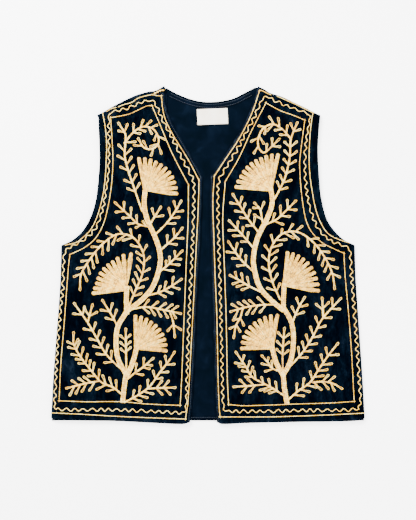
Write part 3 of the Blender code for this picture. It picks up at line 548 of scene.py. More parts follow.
def creases(x, y, table):
    """Height of soft creases, which fade at their sides and ends and bend a little."""
    height = np.zeros_like(x)
    for (x0, y0), (x1, y1), half_width, rise in table:
        length = math.hypot(x1 - x0, y1 - y0)
        along = ((x - x0) * (x1 - x0) + (y - y0) * (y1 - y0)) / length ** 2
        side = ((x - x0) * (y1 - y0) - (y - y0) * (x1 - x0)) / length
        side = side + half_width * 0.5 * np.sin(along * 5 + x0)
        fade = np.clip(1 - np.abs(along * 2 - 1), 0, 1) ** 0.6
        height += rise * fade * np.exp(-(side / half_width) ** 2)
    return height


def unevenness(x, y, seed, wavelengths, rise):
    """Gentle uneven relief, from waves in seeded directions."""
    chance = np.random.default_rng(seed)
    height = np.zeros_like(x)
    for wavelength in wavelengths:
        for _ in range(4):
            angle, phase = chance.uniform(0, math.tau, 2)
            across = (x * math.cos(angle) + y * math.sin(angle)) * math.tau / wavelength
            height += np.sin(across + phase + 0.9 * np.sin(across * 0.37 + phase * 3))
    return rise * height / (2 * len(wavelengths) ** 0.5)


def turned(direction, angle):
    """A direction turned to the left by an angle."""
    turn_cos, turn_sin = math.cos(angle), math.sin(angle)
    return np.array((direction[0] * turn_cos - direction[1] * turn_sin,
                     direction[0] * turn_sin + direction[1] * turn_cos))


def heading(start, end):
    """Unit direction from one point to another."""
    return (end - start) / np.linalg.norm(end - start)


# A row of stitches is a pair: its points, and its width at each of them.
def row_of(points, width):
    """A row of stitches with one width all along."""
    return points, np.full(len(points), float(width))


def line_rows(stretches, width):
    """One row of stitches for each stretch of a line."""
    return [row_of(smooth(knots, 2.5), width) for knots in stretches]


def wave_rows(knots):
    """One wavy row of stitches round a panel, which swings unevenly as a hand draws it."""
    knots = np.array(knots, dtype=float)
    course = smooth(knots[:, :2], 1.2)
    share = shares_along(course)
    reach = np.interp(share, shares_along(knots[:, :2]), knots[:, 2])
    waves = round(lengths_along(course)[-1] / WAVE_PERIOD)
    phase = share * waves * math.tau
    phase = phase + 0.5 * np.sin(phase / 7) + 0.4 * np.sin(phase / 3.1 + 1)
    swing = np.sin(phase) * reach * (1 + 0.18 * np.sin(phase / 4.3))
    return [row_of(course + normals(course) * swing[:, None], WAVE_ROW)]


def bough_rows(knots):
    """Three rows of stitches side by side along a bough."""
    course = smooth(knots, 2.5)
    return [row_of(aside(course, offset), BOUGH_ROW) for offset in (-BOUGH_GAP, 0.0, BOUGH_GAP)]


def leaflets(places, usual=LEAF_LENGTH):
    """Place and length of each leaflet: a place that stands alone has the usual length."""
    return [place if isinstance(place, tuple) else (place, usual) for place in places]


def stem_length(course, places):
    """Length of a sprig's stem, up to where the leaflet at its tip begins."""
    last_place = max(place for place, _ in leaflets(places))
    return max(last_place + 1.5, lengths_along(course)[-1] - LEAF_LENGTH)


def twig_row(knots, left_places, right_places):
    """A row along the stem of a sprig, as far as the leaflet at its tip."""
    course = smooth(knots, 1.5)
    keep = lengths_along(course) <= stem_length(course, left_places + right_places) + 1
    return row_of(course[keep], TWIG_ROW)


def leaf_loop(root, direction, bend, length):
    """A loop of stitches out along a leaflet and back: slit in the middle, widening to a bulb twice as wide
    over the outer half, and round at the tip."""
    halfway = root + direction * length * 0.5
    middle = smooth((root, halfway, halfway + bend * length * 0.5), 0.5)
    share = shares_along(middle)
    half = LEAF_SPREAD * (1 + np.clip((share - 0.5) / 0.3, 0, 1))
    half = half * np.sqrt(1 - np.clip((share - 0.9) / 0.1, 0, 1) ** 2)
    away = normals(middle) * half[:, None]
    return row_of(np.vstack([middle + away, (middle - away)[::-1]]), LEAF_ROW)


def leaflet_rows(knots, left_places, right_places, left_length=LEAF_LENGTH, right_length=LEAF_LENGTH):
    """The leaflets of a sprig: on both sides of its stem, and one at its tip. Those at the sides curve in a
    little, and their lengths vary by up to half a millimetre."""
    course = smooth(knots, 1.5)
    rows = []
    for side, places, usual in ((1, left_places, left_length), (-1, right_places, right_length)):
        for place, length in leaflets(places, usual):
            root, ahead = at(course, [place, place + 1.0])
            direction = heading(root, ahead)
            rows.append(leaf_loop(root, turned(direction, side * LEAF_LEAN),
                                  turned(direction, side * LEAF_LEAN * LEAF_CURVE),
                                  length + 0.5 * math.sin(place * 1.7 + side)))
    root, tip = at(course, [stem_length(course, left_places + right_places), lengths_along(course)[-1]])
    direction = heading(root, tip)
    rows.append(leaf_loop(root, direction, direction, np.linalg.norm(tip - root)))
    return rows


def fan_rows(base, reaches, first_angle, last_angle, petals, full_width, lean=0.0):
    """Rows that fan out, one, then three, then five to a petal, each petal round at its end. The first and
    the last petal may keep their full width on the outside of the fan, and those between may lean over."""
    step = math.radians(last_angle - first_angle) / (petals - 1)
    first_reach, middle_reach, last_reach = reaches
    rows = []
    for petal in range(petals):
        middle = math.radians(first_angle + lean * (1 - (2 * petal / (petals - 1) - 1) ** 4)) + step * petal
        along = np.array((math.cos(middle), math.sin(middle)))
        aside_of_it = np.array((-along[1], along[0])) * math.copysign(1, step)
        outer_side = (petal == petals - 1 and full_width[1]) - (petal == 0 and full_width[0])
        reach = (middle_reach + (first_reach - middle_reach) * max(0.0, 1 - petal / 3)
                 + (last_reach - middle_reach) * max(0.0, 1 - (petals - 1 - petal) / 2))
        for count, start, end in PETAL_LANES:
            for lane in range(count):
                share = (lane - (count - 1) / 2) / count
                outside = share * outer_side > 0
                if outside and count < PETAL_LANES[-1][0]:
                    continue
                offset = share * PETAL_WIDTH
                tip = reach - PETAL_END - PETAL_WIDTH / 2 + math.sqrt(PETAL_WIDTH ** 2 / 4 - offset ** 2)
                # Rows start unevenly, and those at full width near the base.
                near = reach * (0.05 if outside else start + 0.05 * math.sin(petal * 2.3 + lane * 1.9))
                radius = np.linspace(max(near, 2.0), min(end * reach, tip), PETAL_POINTS)
                pitch = abs(step) * radius
                # Petals fill the fan where it is narrow. Further out they keep their own width, with
                # slits between them, and seams show over their outer half.
                open_share = np.clip((radius - reach + PETAL_SLIT) / (PETAL_SLIT * 0.45), 0, 1)
                spread = pitch * (1 - open_share) + np.minimum(pitch, PETAL_WIDTH) * open_share
                spread = spread * (1 - PETAL_SEAM * np.clip((radius / reach - 0.35) / 0.2, 0, 1))
                if outside:
                    spread = np.full_like(radius, PETAL_WIDTH)
                points = np.array(base) + np.outer(radius, along) + np.outer(share * spread, aside_of_it)
                rows.append((points, np.clip(spread / count * 1.05, *PETAL_ROW_WIDTHS)))
    return rows


def add_node(tree, kind, inputs=None, settings=None):
    """A node with its settings, and its inputs set to values or linked. A node among the inputs stands for
    its first output, and stops are a ramp's colours."""
    node = tree.nodes.new(kind)
    settings = dict(settings or {})
    for i, (place, colour) in enumerate(settings.pop("stops", ())):
        stop = node.color_ramp.elements[i] if i < 2 else node.color_ramp.elements.new(place)
        stop.position = place
        stop.color = linear(colour)
    for name, value in settings.items():
        setattr(node, name, value)
    for name, value in (inputs or {}).items():
        if isinstance(value, bpy.types.Node):
            value = value.outputs[0]
        if isinstance(value, bpy.types.NodeSocket):
            tree.links.new(value, node.inputs[name])
        else:
            node.inputs[name].default_value = value
    return node


def linear(hex_colour):
    """An sRGB hex colour as linear red, green, blue and alpha."""
    channels = []
    for i in (1, 3, 5):
        value = int(hex_colour[i:i + 2], 16) / 255
        channels.append(value / 12.92 if value <= 0.04045 else ((value + 0.055) / 1.055) ** 2.4)
    return (*channels, 1.0)


def new_material(name, roughness, sheen=0.0, sheen_tint="#ffffff", specular=0.5):
    """A Principled material, its tree, its shader and the place of each point on its object."""
    material = bpy.data.materials.new(name)
    material.use_nodes = True
    tree = material.node_tree
    shader = tree.nodes["Principled BSDF"]
    looks = {"Roughness": roughness, "Specular IOR Level": specular, "Sheen Weight": sheen,
             "Sheen Roughness": 0.45, "Sheen Tint": linear(sheen_tint)}
    for look, value in looks.items():
        shader.inputs[look].default_value = value
    return material, tree, shader, add_node(tree, "ShaderNodeTexCoord").outputs["Object"]


def give_surface(tree, shader, shade, stops, relief, strength, depth):
    """A shader's colour, from a ramp over one value, and its relief, from another, by a depth in mm."""
    colour = add_node(tree, "ShaderNodeValToRGB", {"Fac": shade}, {"stops": stops})
    tree.links.new(colour.outputs["Color"], shader.inputs["Base Color"])
    bump = add_node(tree, "ShaderNodeBump",
                    {"Height": relief, "Strength": strength, "Distance": depth * MM})
    tree.links.new(bump.outputs["Normal"], shader.inputs["Normal"])


def velvet_material():
    """Navy cotton velvet, woven and cut: nearly black, with faint streaks and mottles of painted sheen
    where the pile leans, and a paler bloom, partly wear and partly painted sheen, where it is worn or turns
    over an edge."""
    material, tree, shader, place = new_material("navy cotton velvet", 0.9, 0.015, "#5f83b5", 0.0)
    brushed = add_node(tree, "ShaderNodeMapping",
                       {"Vector": place, "Rotation": (0, 0, 0.2), "Scale": (1.0, 0.45, 1.0)})
    # The streaks and mottles where the pile leans are painted sheen, drawn into the colour.
    lean = add_node(tree, "ShaderNodeTexNoise",
                    {"Vector": brushed, "Scale": 45, "Detail": 2.0, "Distortion": 1.0})
    mottle = add_node(tree, "ShaderNodeTexNoise",
                      {"Vector": brushed, "Scale": 230, "Detail": 2.0, "Distortion": 0.8})
    # The real pile is 0.2 mm apart, too fine to show, so its grain is drawn at about 1.6 mm.
    pile = add_node(tree, "ShaderNodeTexNoise", {"Vector": place, "Scale": 620, "Detail": 1.0})
    # Edges carry uneven ribs about 3 mm apart where the turned cloth is drawn in by its stitches.
    ribs = add_node(tree, "ShaderNodeTexNoise",
                    {"Vector": place, "Scale": 330, "Detail": 2.0, "Distortion": 0.4})
    # Painted sheen, with some wear: the pile is paler at the edges, along the turned fold and beside the
    # stitches.
    wear_and_sheen = add_node(tree, "ShaderNodeAttribute", None, {"attribute_name": "wear_and_sheen"}).outputs["Fac"]
    ribbed_wear_and_sheen = add_node(tree, "ShaderNodeMath", {0: wear_and_sheen, 1: ribs}, {"operation": "MULTIPLY"})
    total = lean
    for layer, share in ((mottle, 0.8), (pile, 0.5), (ribbed_wear_and_sheen, 0.7)):
        total = add_node(tree, "ShaderNodeMath", {0: layer, 1: share, 2: total},
                         {"operation": "MULTIPLY_ADD"})
    shade = add_node(tree, "ShaderNodeMath", {0: total, 1: 0.5}, {"operation": "MULTIPLY"})
    stops = ((0.50, "#000104"), (0.62, "#01050c"), (0.74, "#060e18"), (0.95, "#1b2532"))
    give_surface(tree, shader, shade, stops, total, 0.3, 0.4)
    return material


def lining_material():
    """Plain-woven navy cotton lining: matte, with faint paler clouds."""
    material, tree, shader, place = new_material("navy cotton lining", 0.9, 0.012, "#4b7fbf", 0.0)
    # The real threads are 0.3 mm apart, too fine to show, so the weave is drawn at 1.1 mm.
    across, down = [add_node(tree, "ShaderNodeTexWave",
                             {"Vector": place, "Scale": 290, "Distortion": 0.6, "Detail": 1.0},
                             {"bands_direction": direction}).outputs["Fac"] for direction in "XY"]
    threads = add_node(tree, "ShaderNodeMath", {0: across, 1: down}, {"operation": "MULTIPLY"})
    cloud = add_node(tree, "ShaderNodeTexNoise",
                     {"Vector": place, "Scale": 40, "Detail": 4.0, "Distortion": 0.8})
    total = add_node(tree, "ShaderNodeMath", {0: threads, 1: 0.14, 2: cloud},
                     {"operation": "MULTIPLY_ADD"})
    stops = ((0.35, "#02060c"), (0.60, "#030811"), (0.85, "#07101c"))
    give_surface(tree, shader, total, stops, threads, 0.3, 0.25)
    return material


def yarn_material():
    """Cream mercerised cotton yarn, plied and slightly glossy: warm, each stitch and each row paler or more
    golden, single rows paler still as a painted highlight, and painted shade in golden brown down between
    the stitches."""
    material, tree, shader, place = new_material("cream cotton yarn", 0.6, 0.1, "#ffe9bd", 0.3)
    total = add_node(tree, "ShaderNodeTexNoise",
                     {"Vector": place, "Scale": 240, "Detail": 3.0, "Distortion": 0.5})
    # Depth paints shade: the yarn turns golden brown low down between the stitches.
    for name, share in (("shade", 0.4), ("row_shade", 0.25), ("depth", -0.5)):
        layer = add_node(tree, "ShaderNodeAttribute", None, {"attribute_name": name}).outputs["Fac"]
        total = add_node(tree, "ShaderNodeMath", {0: layer, 1: share, 2: total},
                         {"operation": "MULTIPLY_ADD"})
    # The plies of the yarn are 0.4 mm apart, which is the scale of this relief.
    plies = add_node(tree, "ShaderNodeTexNoise", {"Vector": place, "Scale": 2400, "Detail": 2.0})
    stops = ((0.25, "#51402b"), (0.42, "#b08650"), (0.58, "#eeac2c"), (0.78, "#ffc42c"), (1.0, "#ffe488"))
    give_surface(tree, shader, total, stops, plies, 0.4, 0.3)
    return material


def label_material():
    """Cream woven satin ribbon: fine ribs across and a soft gloss."""
    material, tree, shader, place = new_material("cream satin ribbon", 0.42, 0.1)
    cloud = add_node(tree, "ShaderNodeTexNoise", {"Vector": place, "Scale": 60, "Detail": 3.0})
    # The ribs of the ribbon are 0.4 mm apart in cloth like it, drawn here at 0.8 mm.
    ribs = add_node(tree, "ShaderNodeTexWave", {"Vector": place, "Scale": 400, "Distortion": 0.4},
                    {"bands_direction": "Y"}).outputs["Fac"]
    give_surface(tree, shader, cloud, ((0.35, "#f6ead4"), (0.70, "#fff9ec")), ribs, 0.2, 0.15)
    return material


def sewing_thread_material():
    """Spun polyester sewing thread in navy, a little paler than the cloth that it is sewn on."""
    material, tree, shader, place = new_material("navy sewing thread", 0.55)
    # Its fibres twist round it about every 0.4 mm.
    fibres = add_node(tree, "ShaderNodeTexNoise", {"Vector": place, "Scale": 2500, "Detail": 1.0})
    give_surface(tree, shader, fibres, ((0.30, "#050d1a"), (0.70, "#0f1d31")), fibres, 0.3, 0.2)
    return material


def backdrop_material():
    """Opal acrylic of a light table, evenly lit from inside, so it shows white and nearly shadowless."""
    material, tree, shader, place = new_material("opal acrylic", 0.6)
    cloud = add_node(tree, "ShaderNodeTexNoise", {"Vector": place, "Scale": 3, "Detail": 2.0})
    colour = add_node(tree, "ShaderNodeValToRGB", {"Fac": cloud},
                      {"stops": ((0.30, "#fafafa"), (0.70, "#ffffff"))})
    tree.links.new(colour.outputs["Color"], shader.inputs["Base Color"])
    shader.inputs["Emission Color"].default_value = linear("#ffffff")
    shader.inputs["Emission Strength"].default_value = FLOOR_GLOW
    return material


def chain_link():
    """One link of chain stitch, 1 wide and 1 high, and a little over 1 long so that links overlap: pointed
    behind and round in front. Each point knows how deep it lies, for the painted shade of the yarn: darker
    low down and in the link's hollow."""
    sides = 8
    # Each ring of points has a scale, a height and a depth for painted shade, from the velvet up.
    rings = ((1.0, -0.25, 1.0), (0.94, 0.45, 0.55), (0.62, 1.0, 0.0))
    verts = []
    for scale, height, _ in rings:
        for k in range(sides):
            turn = k * math.tau / sides
            x = -math.cos(turn) * 0.62 * (scale if abs(math.cos(turn)) > 0.5 else 1.0)
            verts.append((x, 0.5 * math.sin(turn) * (0.96 - 0.22 * math.cos(turn)) * scale, height))
    # The hollow in the middle of the link.
    verts.append((0.08, 0.0, 0.45))
    faces = [tuple(reversed(range(sides)))]
    for ring in range(len(rings) - 1):
        for k in range(sides):
            a, b = ring * sides + k, ring * sides + (k + 1) % sides
            faces.append((a, b, b + sides, a + sides))
    top = (len(rings) - 1) * sides
    faces += [(top + k, top + (k + 1) % sides, len(verts) - 1) for k in range(sides)]
    piece = stitch_shape("chain_link", verts, faces)
    set_attribute(piece, "depth", np.array([depth for _, _, depth in rings for _ in range(sides)] + [0.7]))
    return piece


def run_stitch():
    """One straight sewing stitch, 1 long, 1 wide and 1 high, sunk at both ends."""
    verts = []
    for x, height in ((-0.5, -0.4), (-0.2, 0.7), (0.2, 0.7), (0.5, -0.4)):
        verts += [(x, -0.5, -0.6), (x, -0.25, height), (x, 0.25, height), (x, 0.5, -0.6)]
    faces = []
    for ring in range(3):
        for k in range(4):
            a, b = ring * 4 + k, ring * 4 + (k + 1) % 4
            faces.append((a, a + 4, b + 4, b))
    faces += [(0, 1, 2, 3), (15, 14, 13, 12)]
    return stitch_shape("run_stitch", verts, faces)


def stitch_shape(name, verts, faces):
    """A small mesh that the stitching repeats, with its faces turned outwards."""
    piece = mesh_piece(name, verts, faces)
    shape = bmesh.new()
    shape.from_mesh(piece.data)
    bmesh.ops.recalc_face_normals(shape, faces=shape.faces)
    shape.to_mesh(piece.data)
    shape.free()
    return piece


def stitching_tree(link, material):
    """Geometry Nodes that repeat a stitch along rows: its spacing, length, height and seed are inputs."""
    tree = bpy.data.node_groups.new("stitching " + link.name, "GeometryNodeTree")
    for name, kind in (("Rows", "Geometry"), ("Spacing", "Float"), ("Length", "Float"), ("Height", "Float"),
                       ("Seed", "Int")):
        tree.interface.new_socket(name, in_out="INPUT", socket_type="NodeSocket" + kind)
    tree.interface.new_socket("Stitches", in_out="OUTPUT", socket_type="NodeSocketGeometry")
    entry = add_node(tree, "NodeGroupInput").outputs
    # Each stitch has a shade of its own, sways a little and is more or less plump.
    shade, sway, plump = [add_node(tree, "FunctionNodeRandomValue", {2: low, 3: high, 8: entry["Seed"]},
                                   {"data_type": "FLOAT"}).outputs[1]
                          for low, high in ((0.0, 1.0), (-0.11, 0.11), (0.92, 1.1))]
    curve = add_node(tree, "GeometryNodeMeshToCurve", {"Mesh": entry["Rows"]})
    places = add_node(tree, "GeometryNodeCurveToPoints", {"Curve": curve, "Length": entry["Spacing"]},
                      {"mode": "LENGTH"})
    marked = add_node(tree, "GeometryNodeStoreNamedAttribute",
                      {"Geometry": places, "Name": "shade", "Value": shade},
                      {"data_type": "FLOAT", "domain": "POINT"})
    onward = add_node(tree, "FunctionNodeAlignRotationToVector", {"Vector": places.outputs["Tangent"]},
                      {"axis": "X", "pivot_axis": "Z"})
    sway_angles = add_node(tree, "ShaderNodeCombineXYZ", {"Z": sway})
    sway_turn = add_node(tree, "FunctionNodeEulerToRotation", {"Euler": sway_angles})
    rotation = add_node(tree, "FunctionNodeRotateRotation", {"Rotation": onward, "Rotate By": sway_turn},
                        {"rotation_space": "LOCAL"})
    width = add_node(tree, "GeometryNodeInputNamedAttribute", {"Name": "row_width"}, {"data_type": "FLOAT"})
    wide, tall = [add_node(tree, "ShaderNodeMath", {0: measure, 1: plump}, {"operation": "MULTIPLY"})
                  for measure in (width.outputs["Attribute"], entry["Height"])]
    size = add_node(tree, "ShaderNodeCombineXYZ", {"X": entry["Length"], "Y": wide, "Z": tall})
    shape = add_node(tree, "GeometryNodeObjectInfo", {"Object": link})
    copies = add_node(tree, "GeometryNodeInstanceOnPoints",
                      {"Points": marked, "Instance": shape.outputs["Geometry"], "Rotation": rotation,
                       "Scale": size})
    real = add_node(tree, "GeometryNodeRealizeInstances", {"Geometry": copies})
    finished = add_node(tree, "GeometryNodeSetMaterial", {"Geometry": real, "Material": material})
    add_node(tree, "NodeGroupOutput", {"Stitches": finished})
    return tree


def surface_of(piece):
    """A search tree of a finished piece, for finding its top under a point."""
    depsgraph = bpy.context.evaluated_depsgraph_get()
    depsgraph.update()
    return BVHTree.FromObject(piece.evaluated_get(depsgraph), depsgraph)


def top_of(surfaces, x, y, otherwise):
    """Height of the highest surface at a point, in millimetres."""
    heights = []
    for surface in surfaces:
        place = surface.ray_cast(Vector((x * MM, y * MM, 0.2)), Vector((0, 0, -1)))[0]
        if place is not None:
            heights.append(place.z / MM)
    return max(heights, default=otherwise)


def stitch_rows(name, rows, surfaces, tree, spacing, length, height, lift, seed, paler=0.0):
    """Rows of stitches worked on the top surface, as one plain mesh. Single rows catch light from both
    sides, so they are paler than those that lie side by side."""
    places, widths, shades, edges = [], [], [], []
    chance = np.random.default_rng(seed)
    for points, row_widths in rows:
        start = len(places)
        z = FRONT_TOP
        for x, y in points:
            z = top_of(surfaces, x, y, z)
            places.append((x * MM, y * MM, (z + lift) * MM))
        widths += [width * MM for width in row_widths]
        # Single rows get a painted highlight: their row shade is raised by paler.
        shades += [chance.uniform() + paler] * len(points)
        edges += [(i, i + 1) for i in range(start, len(places) - 1)]
    guide = mesh_piece(name + "_rows", places, [], edges=edges)
    set_attribute(guide, "row_width", np.array(widths))
    set_attribute(guide, "row_shade", np.array(shades))
    modifier = guide.modifiers.new("stitching", "NODES")
    modifier.node_group = tree
    values = {"Spacing": spacing * MM, "Length": length * MM, "Height": height * MM, "Seed": seed}
    for item in tree.interface.items_tree:
        if item.name in values:
            modifier[item.identifier] = values[item.name]
    depsgraph = bpy.context.evaluated_depsgraph_get()
    depsgraph.update()
    finished = bpy.data.meshes.new_from_object(guide.evaluated_get(depsgraph), depsgraph=depsgraph)
    finished.name = name
    bpy.data.objects.remove(guide, do_unlink=True)
    return placed(name, finished)


def distances_to_rows(rows, x, y):
    """Distance of each point of a grid to the nearest stitched row."""
    stitched = np.vstack([points for points, _ in rows])
    tree = KDTree(len(stitched))
    for i, place in enumerate(stitched):
        tree.insert((*place, 0.0), i)
    tree.balance()
    return np.array([tree.find((a, b, 0.0))[2] for a, b in zip(x.ravel(), y.ravel())]).reshape(x.shape)


def from_edges(grid):
    """Distances of a grid's points from its first and last column and its first and last row, and from
    the nearest of these edges."""
    columns = np.pad(np.cumsum(np.linalg.norm(np.diff(grid, axis=1), axis=2), axis=1), ((0, 0), (1, 0)))
    rows = np.pad(np.cumsum(np.linalg.norm(np.diff(grid, axis=0), axis=2), axis=0), ((1, 0), (0, 0)))
    distances = (columns, columns[:, -1:] - columns, rows, rows[-1:] - rows)
    return (*distances, np.min(distances, axis=0))


def set_attribute(piece, name, values):
    """A number at each point of a piece, for its material."""
    piece.data.attributes.new(name, "FLOAT", "POINT").data.foreach_set("value", values.ravel())


def front_shell(name, node, edges, swells, crease_table, shoulder_drop, rows, seed, material):
    """The velvet of one front on its solid's form, with its creases and the pull of its stitches."""
    outer = joined(*zip(edges[:3], FRONT_ROWS))
    inner = joined(*zip(edges[3:6], FRONT_ROWS))
    hem, shoulder = edges[6:]
    pile = math.copysign(PILE_REACH, inner[0][0] - outer[0][0])
    outer = aside(outer, pile)
    # A shoulder that is sewn to the turned back has no pile beyond its edge.
    shoulder_pile = pile if shoulder_drop > 1 else 0.0
    across = edge_shares(np.linalg.norm(inner[0] - outer[0]), OUTER_STEPS, INNER_STEPS, FRONT_COLUMNS)
    grid = coons(outer, inner, divide(hem, across), aside(divide(shoulder, across), shoulder_pile), across,
                 (shares_along(outer) + shares_along(inner)) / 2)
    below_top = np.linalg.norm(grid[-1] - grid[-2], axis=1).mean()
    last_rows = [grid[-1] - (grid[-1] - grid[-2]) * min(step / below_top, 0.97) for step in SHOULDER_STEPS]
    grid = np.concatenate([grid[:-1], np.array(last_rows), grid[-1:]], axis=0)
    x, y = grid[..., 0], grid[..., 1]
    from_side, _, _, from_shoulder, edge = from_edges(grid)
    # The side edge rolls down, and the armhole's edge less and less.
    side_share = np.clip(1 - (np.arange(len(grid))[:, None] - FRONT_ROWS[0]) / ROLL_FADE, 0, 1)
    stitched = distances_to_rows(rows, x, y)
    puff = PUFF_RISE * (1 - np.exp(-(stitched / PUFF_REACH) ** 2)) * np.clip(edge / PUFF_FADE, 0, 1)
    z = FRONT_TOP + swell(x, y, swells) * np.clip(edge / SWELL_FADE, 0, 1) - 0.3
    z = z + puff + creases(x, y, crease_table) * np.clip(edge / RELIEF_FADE, 0, 1)
    z = z + unevenness(x, y, seed, (70, 42, 24), 0.28) * np.clip(edge / RELIEF_FADE, 0.15, 1)
    # The topstitching pulls a groove, and the cloth thins at its very edge.
    z = z - 0.35 * np.exp(-((edge - TOPSTITCH_INSET) / GROOVE_REACH) ** 2)
    z = z - 0.5 * np.clip(1 - edge / 1.5, 0, 1) ** 2
    z = z - roll_drop(from_side, FRONT_TOP - ROLL_EDGE) * side_share
    z = z - roll_drop(from_shoulder, shoulder_drop)
    points = np.dstack([x, y, np.maximum(z, ROLL_EDGE)])
    piece = grid_mesh(name, points, material, flip=pile < 0)
    # Pile is paler at the edges, and a little beside the stitches: partly wear, partly painted sheen where
    # it turns and catches light.
    set_attribute(piece, "wear_and_sheen", np.exp(-edge / 3.0) + 0.15 * np.exp(-((stitched - 2.8) / 1.6) ** 2))
    give_wall(piece, FRONT_WALL)
    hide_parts(node)
    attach(piece, "root")
    return piece


def back_grid(inset, neck_inset, hem_y, fold_inset):
    """Grid of points of the back, a distance inside the fronts' outer edges and its own top edges."""
    right = aside(joined(*zip((RIGHT_SIDE, RIGHT_ARMHOLE_LOW, RIGHT_ARMHOLE_HIGH), BACK_ROWS)), -inset)
    left = aside(joined(*zip((LEFT_SIDE, LEFT_ARMHOLE_LOW, LEFT_ARMHOLE_HIGH), BACK_ROWS)), inset)
    right[0, 1] = left[0, 1] = hem_y
    fold = aside(divide(BACK_RIGHT_FOLD, np.linspace(0, 1, SHOULDER_COLUMNS)), -fold_inset)
    neckline = aside(divide(BACK_NECKLINE, np.linspace(0, 1, NECK_COLUMNS)), -neck_inset)
    left_shoulder = aside(divide(LEFT_SHOULDER[::-1], np.linspace(0, 1, SHOULDER_COLUMNS)), -inset)
    top = np.vstack([fold, neckline[1:-1], left_shoulder])
    right[-1], left[-1] = top[0], top[-1]
    across = (top[:, 0] - top[0, 0]) / (top[-1, 0] - top[0, 0])
    bottom = right[0] * (1 - across[:, None]) + left[0] * across[:, None]
    return coons(right, left, bottom, top, across, (shares_along(right) + shares_along(left)) / 2)


def back_shell(material):
    """The velvet of the back, face down, with its right shoulder turned over to the front side."""
    grid = back_grid(BACK_INSET, -PILE_REACH, BACK_HEM_Y, TURN_SECTION[0][0])
    fold = aside(divide(BACK_RIGHT_FOLD, np.linspace(0, 1, SHOULDER_COLUMNS)), PILE_REACH)
    seam = aside(divide(RIGHT_SHOULDER, np.linspace(0, 1, SHOULDER_COLUMNS)), TURN_SEAM)
    rings = [(aside(fold, -away), z) for away, z in TURN_SECTION[1:]]
    last = rings[-1][0]
    rings += [(last + (seam - last) * share, FRONT_TOP - 0.15 * (1 - share))
              for share in (0.25, 0.5, 0.75, 1.0)]
    points = [(x, y, 0.0) for row in grid for x, y in row]
    index = np.arange(len(points)).reshape(grid.shape[:2])
    turned_index = len(points) + np.arange(len(rings) * SHOULDER_COLUMNS).reshape(-1, SHOULDER_COLUMNS)
    faces = quads(index, True) + quads(np.vstack([index[-1, :SHOULDER_COLUMNS], turned_index]), True)
    points += [(x, y, z) for ring, z in rings for x, y in ring]
    piece = mesh_piece("back_velvet", [(x * MM, y * MM, z * MM) for x, y, z in points], faces, material)
    # The turned strip of the fold is paler: painted sheen, with some wear.
    set_attribute(piece, "wear_and_sheen", np.where(np.arange(len(points)) < index.size, 0.0, FOLD_WEAR_AND_SHEEN))
    give_wall(piece, SHELL_WALL)
    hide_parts("back_shell")
    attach(piece, "root")
    return piece


def back_lining(material):
    """The lining inside the back, creased where it shows between the fronts and at the neck."""
    grid = back_grid(LINING_INSET, LINING_NECK_INSET, BACK_HEM_Y + 2, LINING_INSET + 1)
    x, y = grid[..., 0], grid[..., 1]
    edge = from_edges(grid)[-1]
    shown = np.exp(-((x + 2) / 30) ** 4) * np.clip(edge / RELIEF_FADE, 0, 1)
    neck = np.exp(-((y - 220) / 60) ** 4) * np.clip(edge / RELIEF_FADE, 0, 1)
    relief = creases(x, y, LINING_CREASES) + unevenness(x, y, 5, (60, 30), 0.22)
    z = LINING_TOP + np.clip(relief, -0.5, 0.9) * np.maximum(shown, neck)
    z = z - 0.3 * np.exp(-((edge - 3.0) / GROOVE_REACH) ** 2)
    points = np.dstack([x, y, z])
    piece = grid_mesh("back_lining_cloth", points, material)
    give_wall(piece, LINING_WALL)
    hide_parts("back_lining")
    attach(piece, "root")
    return piece


def neck_facing(material):
    """The facing strip inside the back of the neck, slightly raised at its turned edges."""
    # It ends a little short of the neckline at both ends.
    neckline = divide(BACK_NECKLINE, np.linspace(0.07, 0.93, 90))
    grid = np.array([aside(neckline, -lane) for lane, _ in FACING_SECTION])
    heights = np.array([height for _, height in FACING_SECTION])
    z = heights[:, None] + unevenness(grid[..., 0], grid[..., 1], 8, (30, 17), 0.07)
    points = np.dstack([grid[..., 0], grid[..., 1], z])
    piece = grid_mesh("neck_facing_cloth", points, material, flip=True)
    give_wall(piece, TRIM_WALL)
    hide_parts("neck_facing")
    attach(piece, "root")
    return piece


def neck_label(material):
    """The bare satin label, with its two ends folded under and sewn down."""
    half_width, half_height = LABEL_SIZE[0] / 2, LABEL_SIZE[1] / 2
    across, up = np.meshgrid(np.linspace(-half_width, half_width, 41),
                             np.linspace(-half_height, half_height, 21))
    turn_cos, turn_sin = math.cos(LABEL_TURN), math.sin(LABEL_TURN)
    places = (np.stack([across, up], axis=-1) @ np.array(((turn_cos, turn_sin), (-turn_sin, turn_cos)))
              + np.array(LABEL_CENTRE))
    sewn = np.exp(-((np.abs(across) - half_width + 2.2) / 1.2) ** 2)
    z = (TRIM_TOP + 0.25 * np.cos(across * 0.09 + 0.4) + 0.12 * np.sin(up * 0.3 + across * 0.12)
         - 0.25 * sewn)
    z = z - 0.25 * np.clip(1 - (half_height - np.abs(up)) / 1.5, 0, 1) ** 2
    piece = grid_mesh("neck_label_ribbon", np.dstack([places[..., 0], places[..., 1], z]), material)
    give_wall(piece, TRIM_WALL)
    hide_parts("neck_label")
    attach(piece, "root")
    return piece


def embroider(name, rows, surfaces, tree, seed, nodes=(), step=CHAIN_STEP, paler=0.5):
    """Rows of chain stitch, which stand for the raised solids of the embroidery where nodes are given."""
    piece = stitch_rows(name, rows, surfaces, tree, step, step * LINK_OVERLAP, YARN_HEIGHT, YARN_LIFT,
                        seed, paler)
    if nodes:
        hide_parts(*nodes)
    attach(piece, "root")
    return piece


def sew(name, rows, surfaces, tree, seed):
    """Rows of fine straight stitches."""
    piece = stitch_rows(name, rows, surfaces, tree, *SEWING_STITCH, seed)
    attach(piece, "root")
    return piece


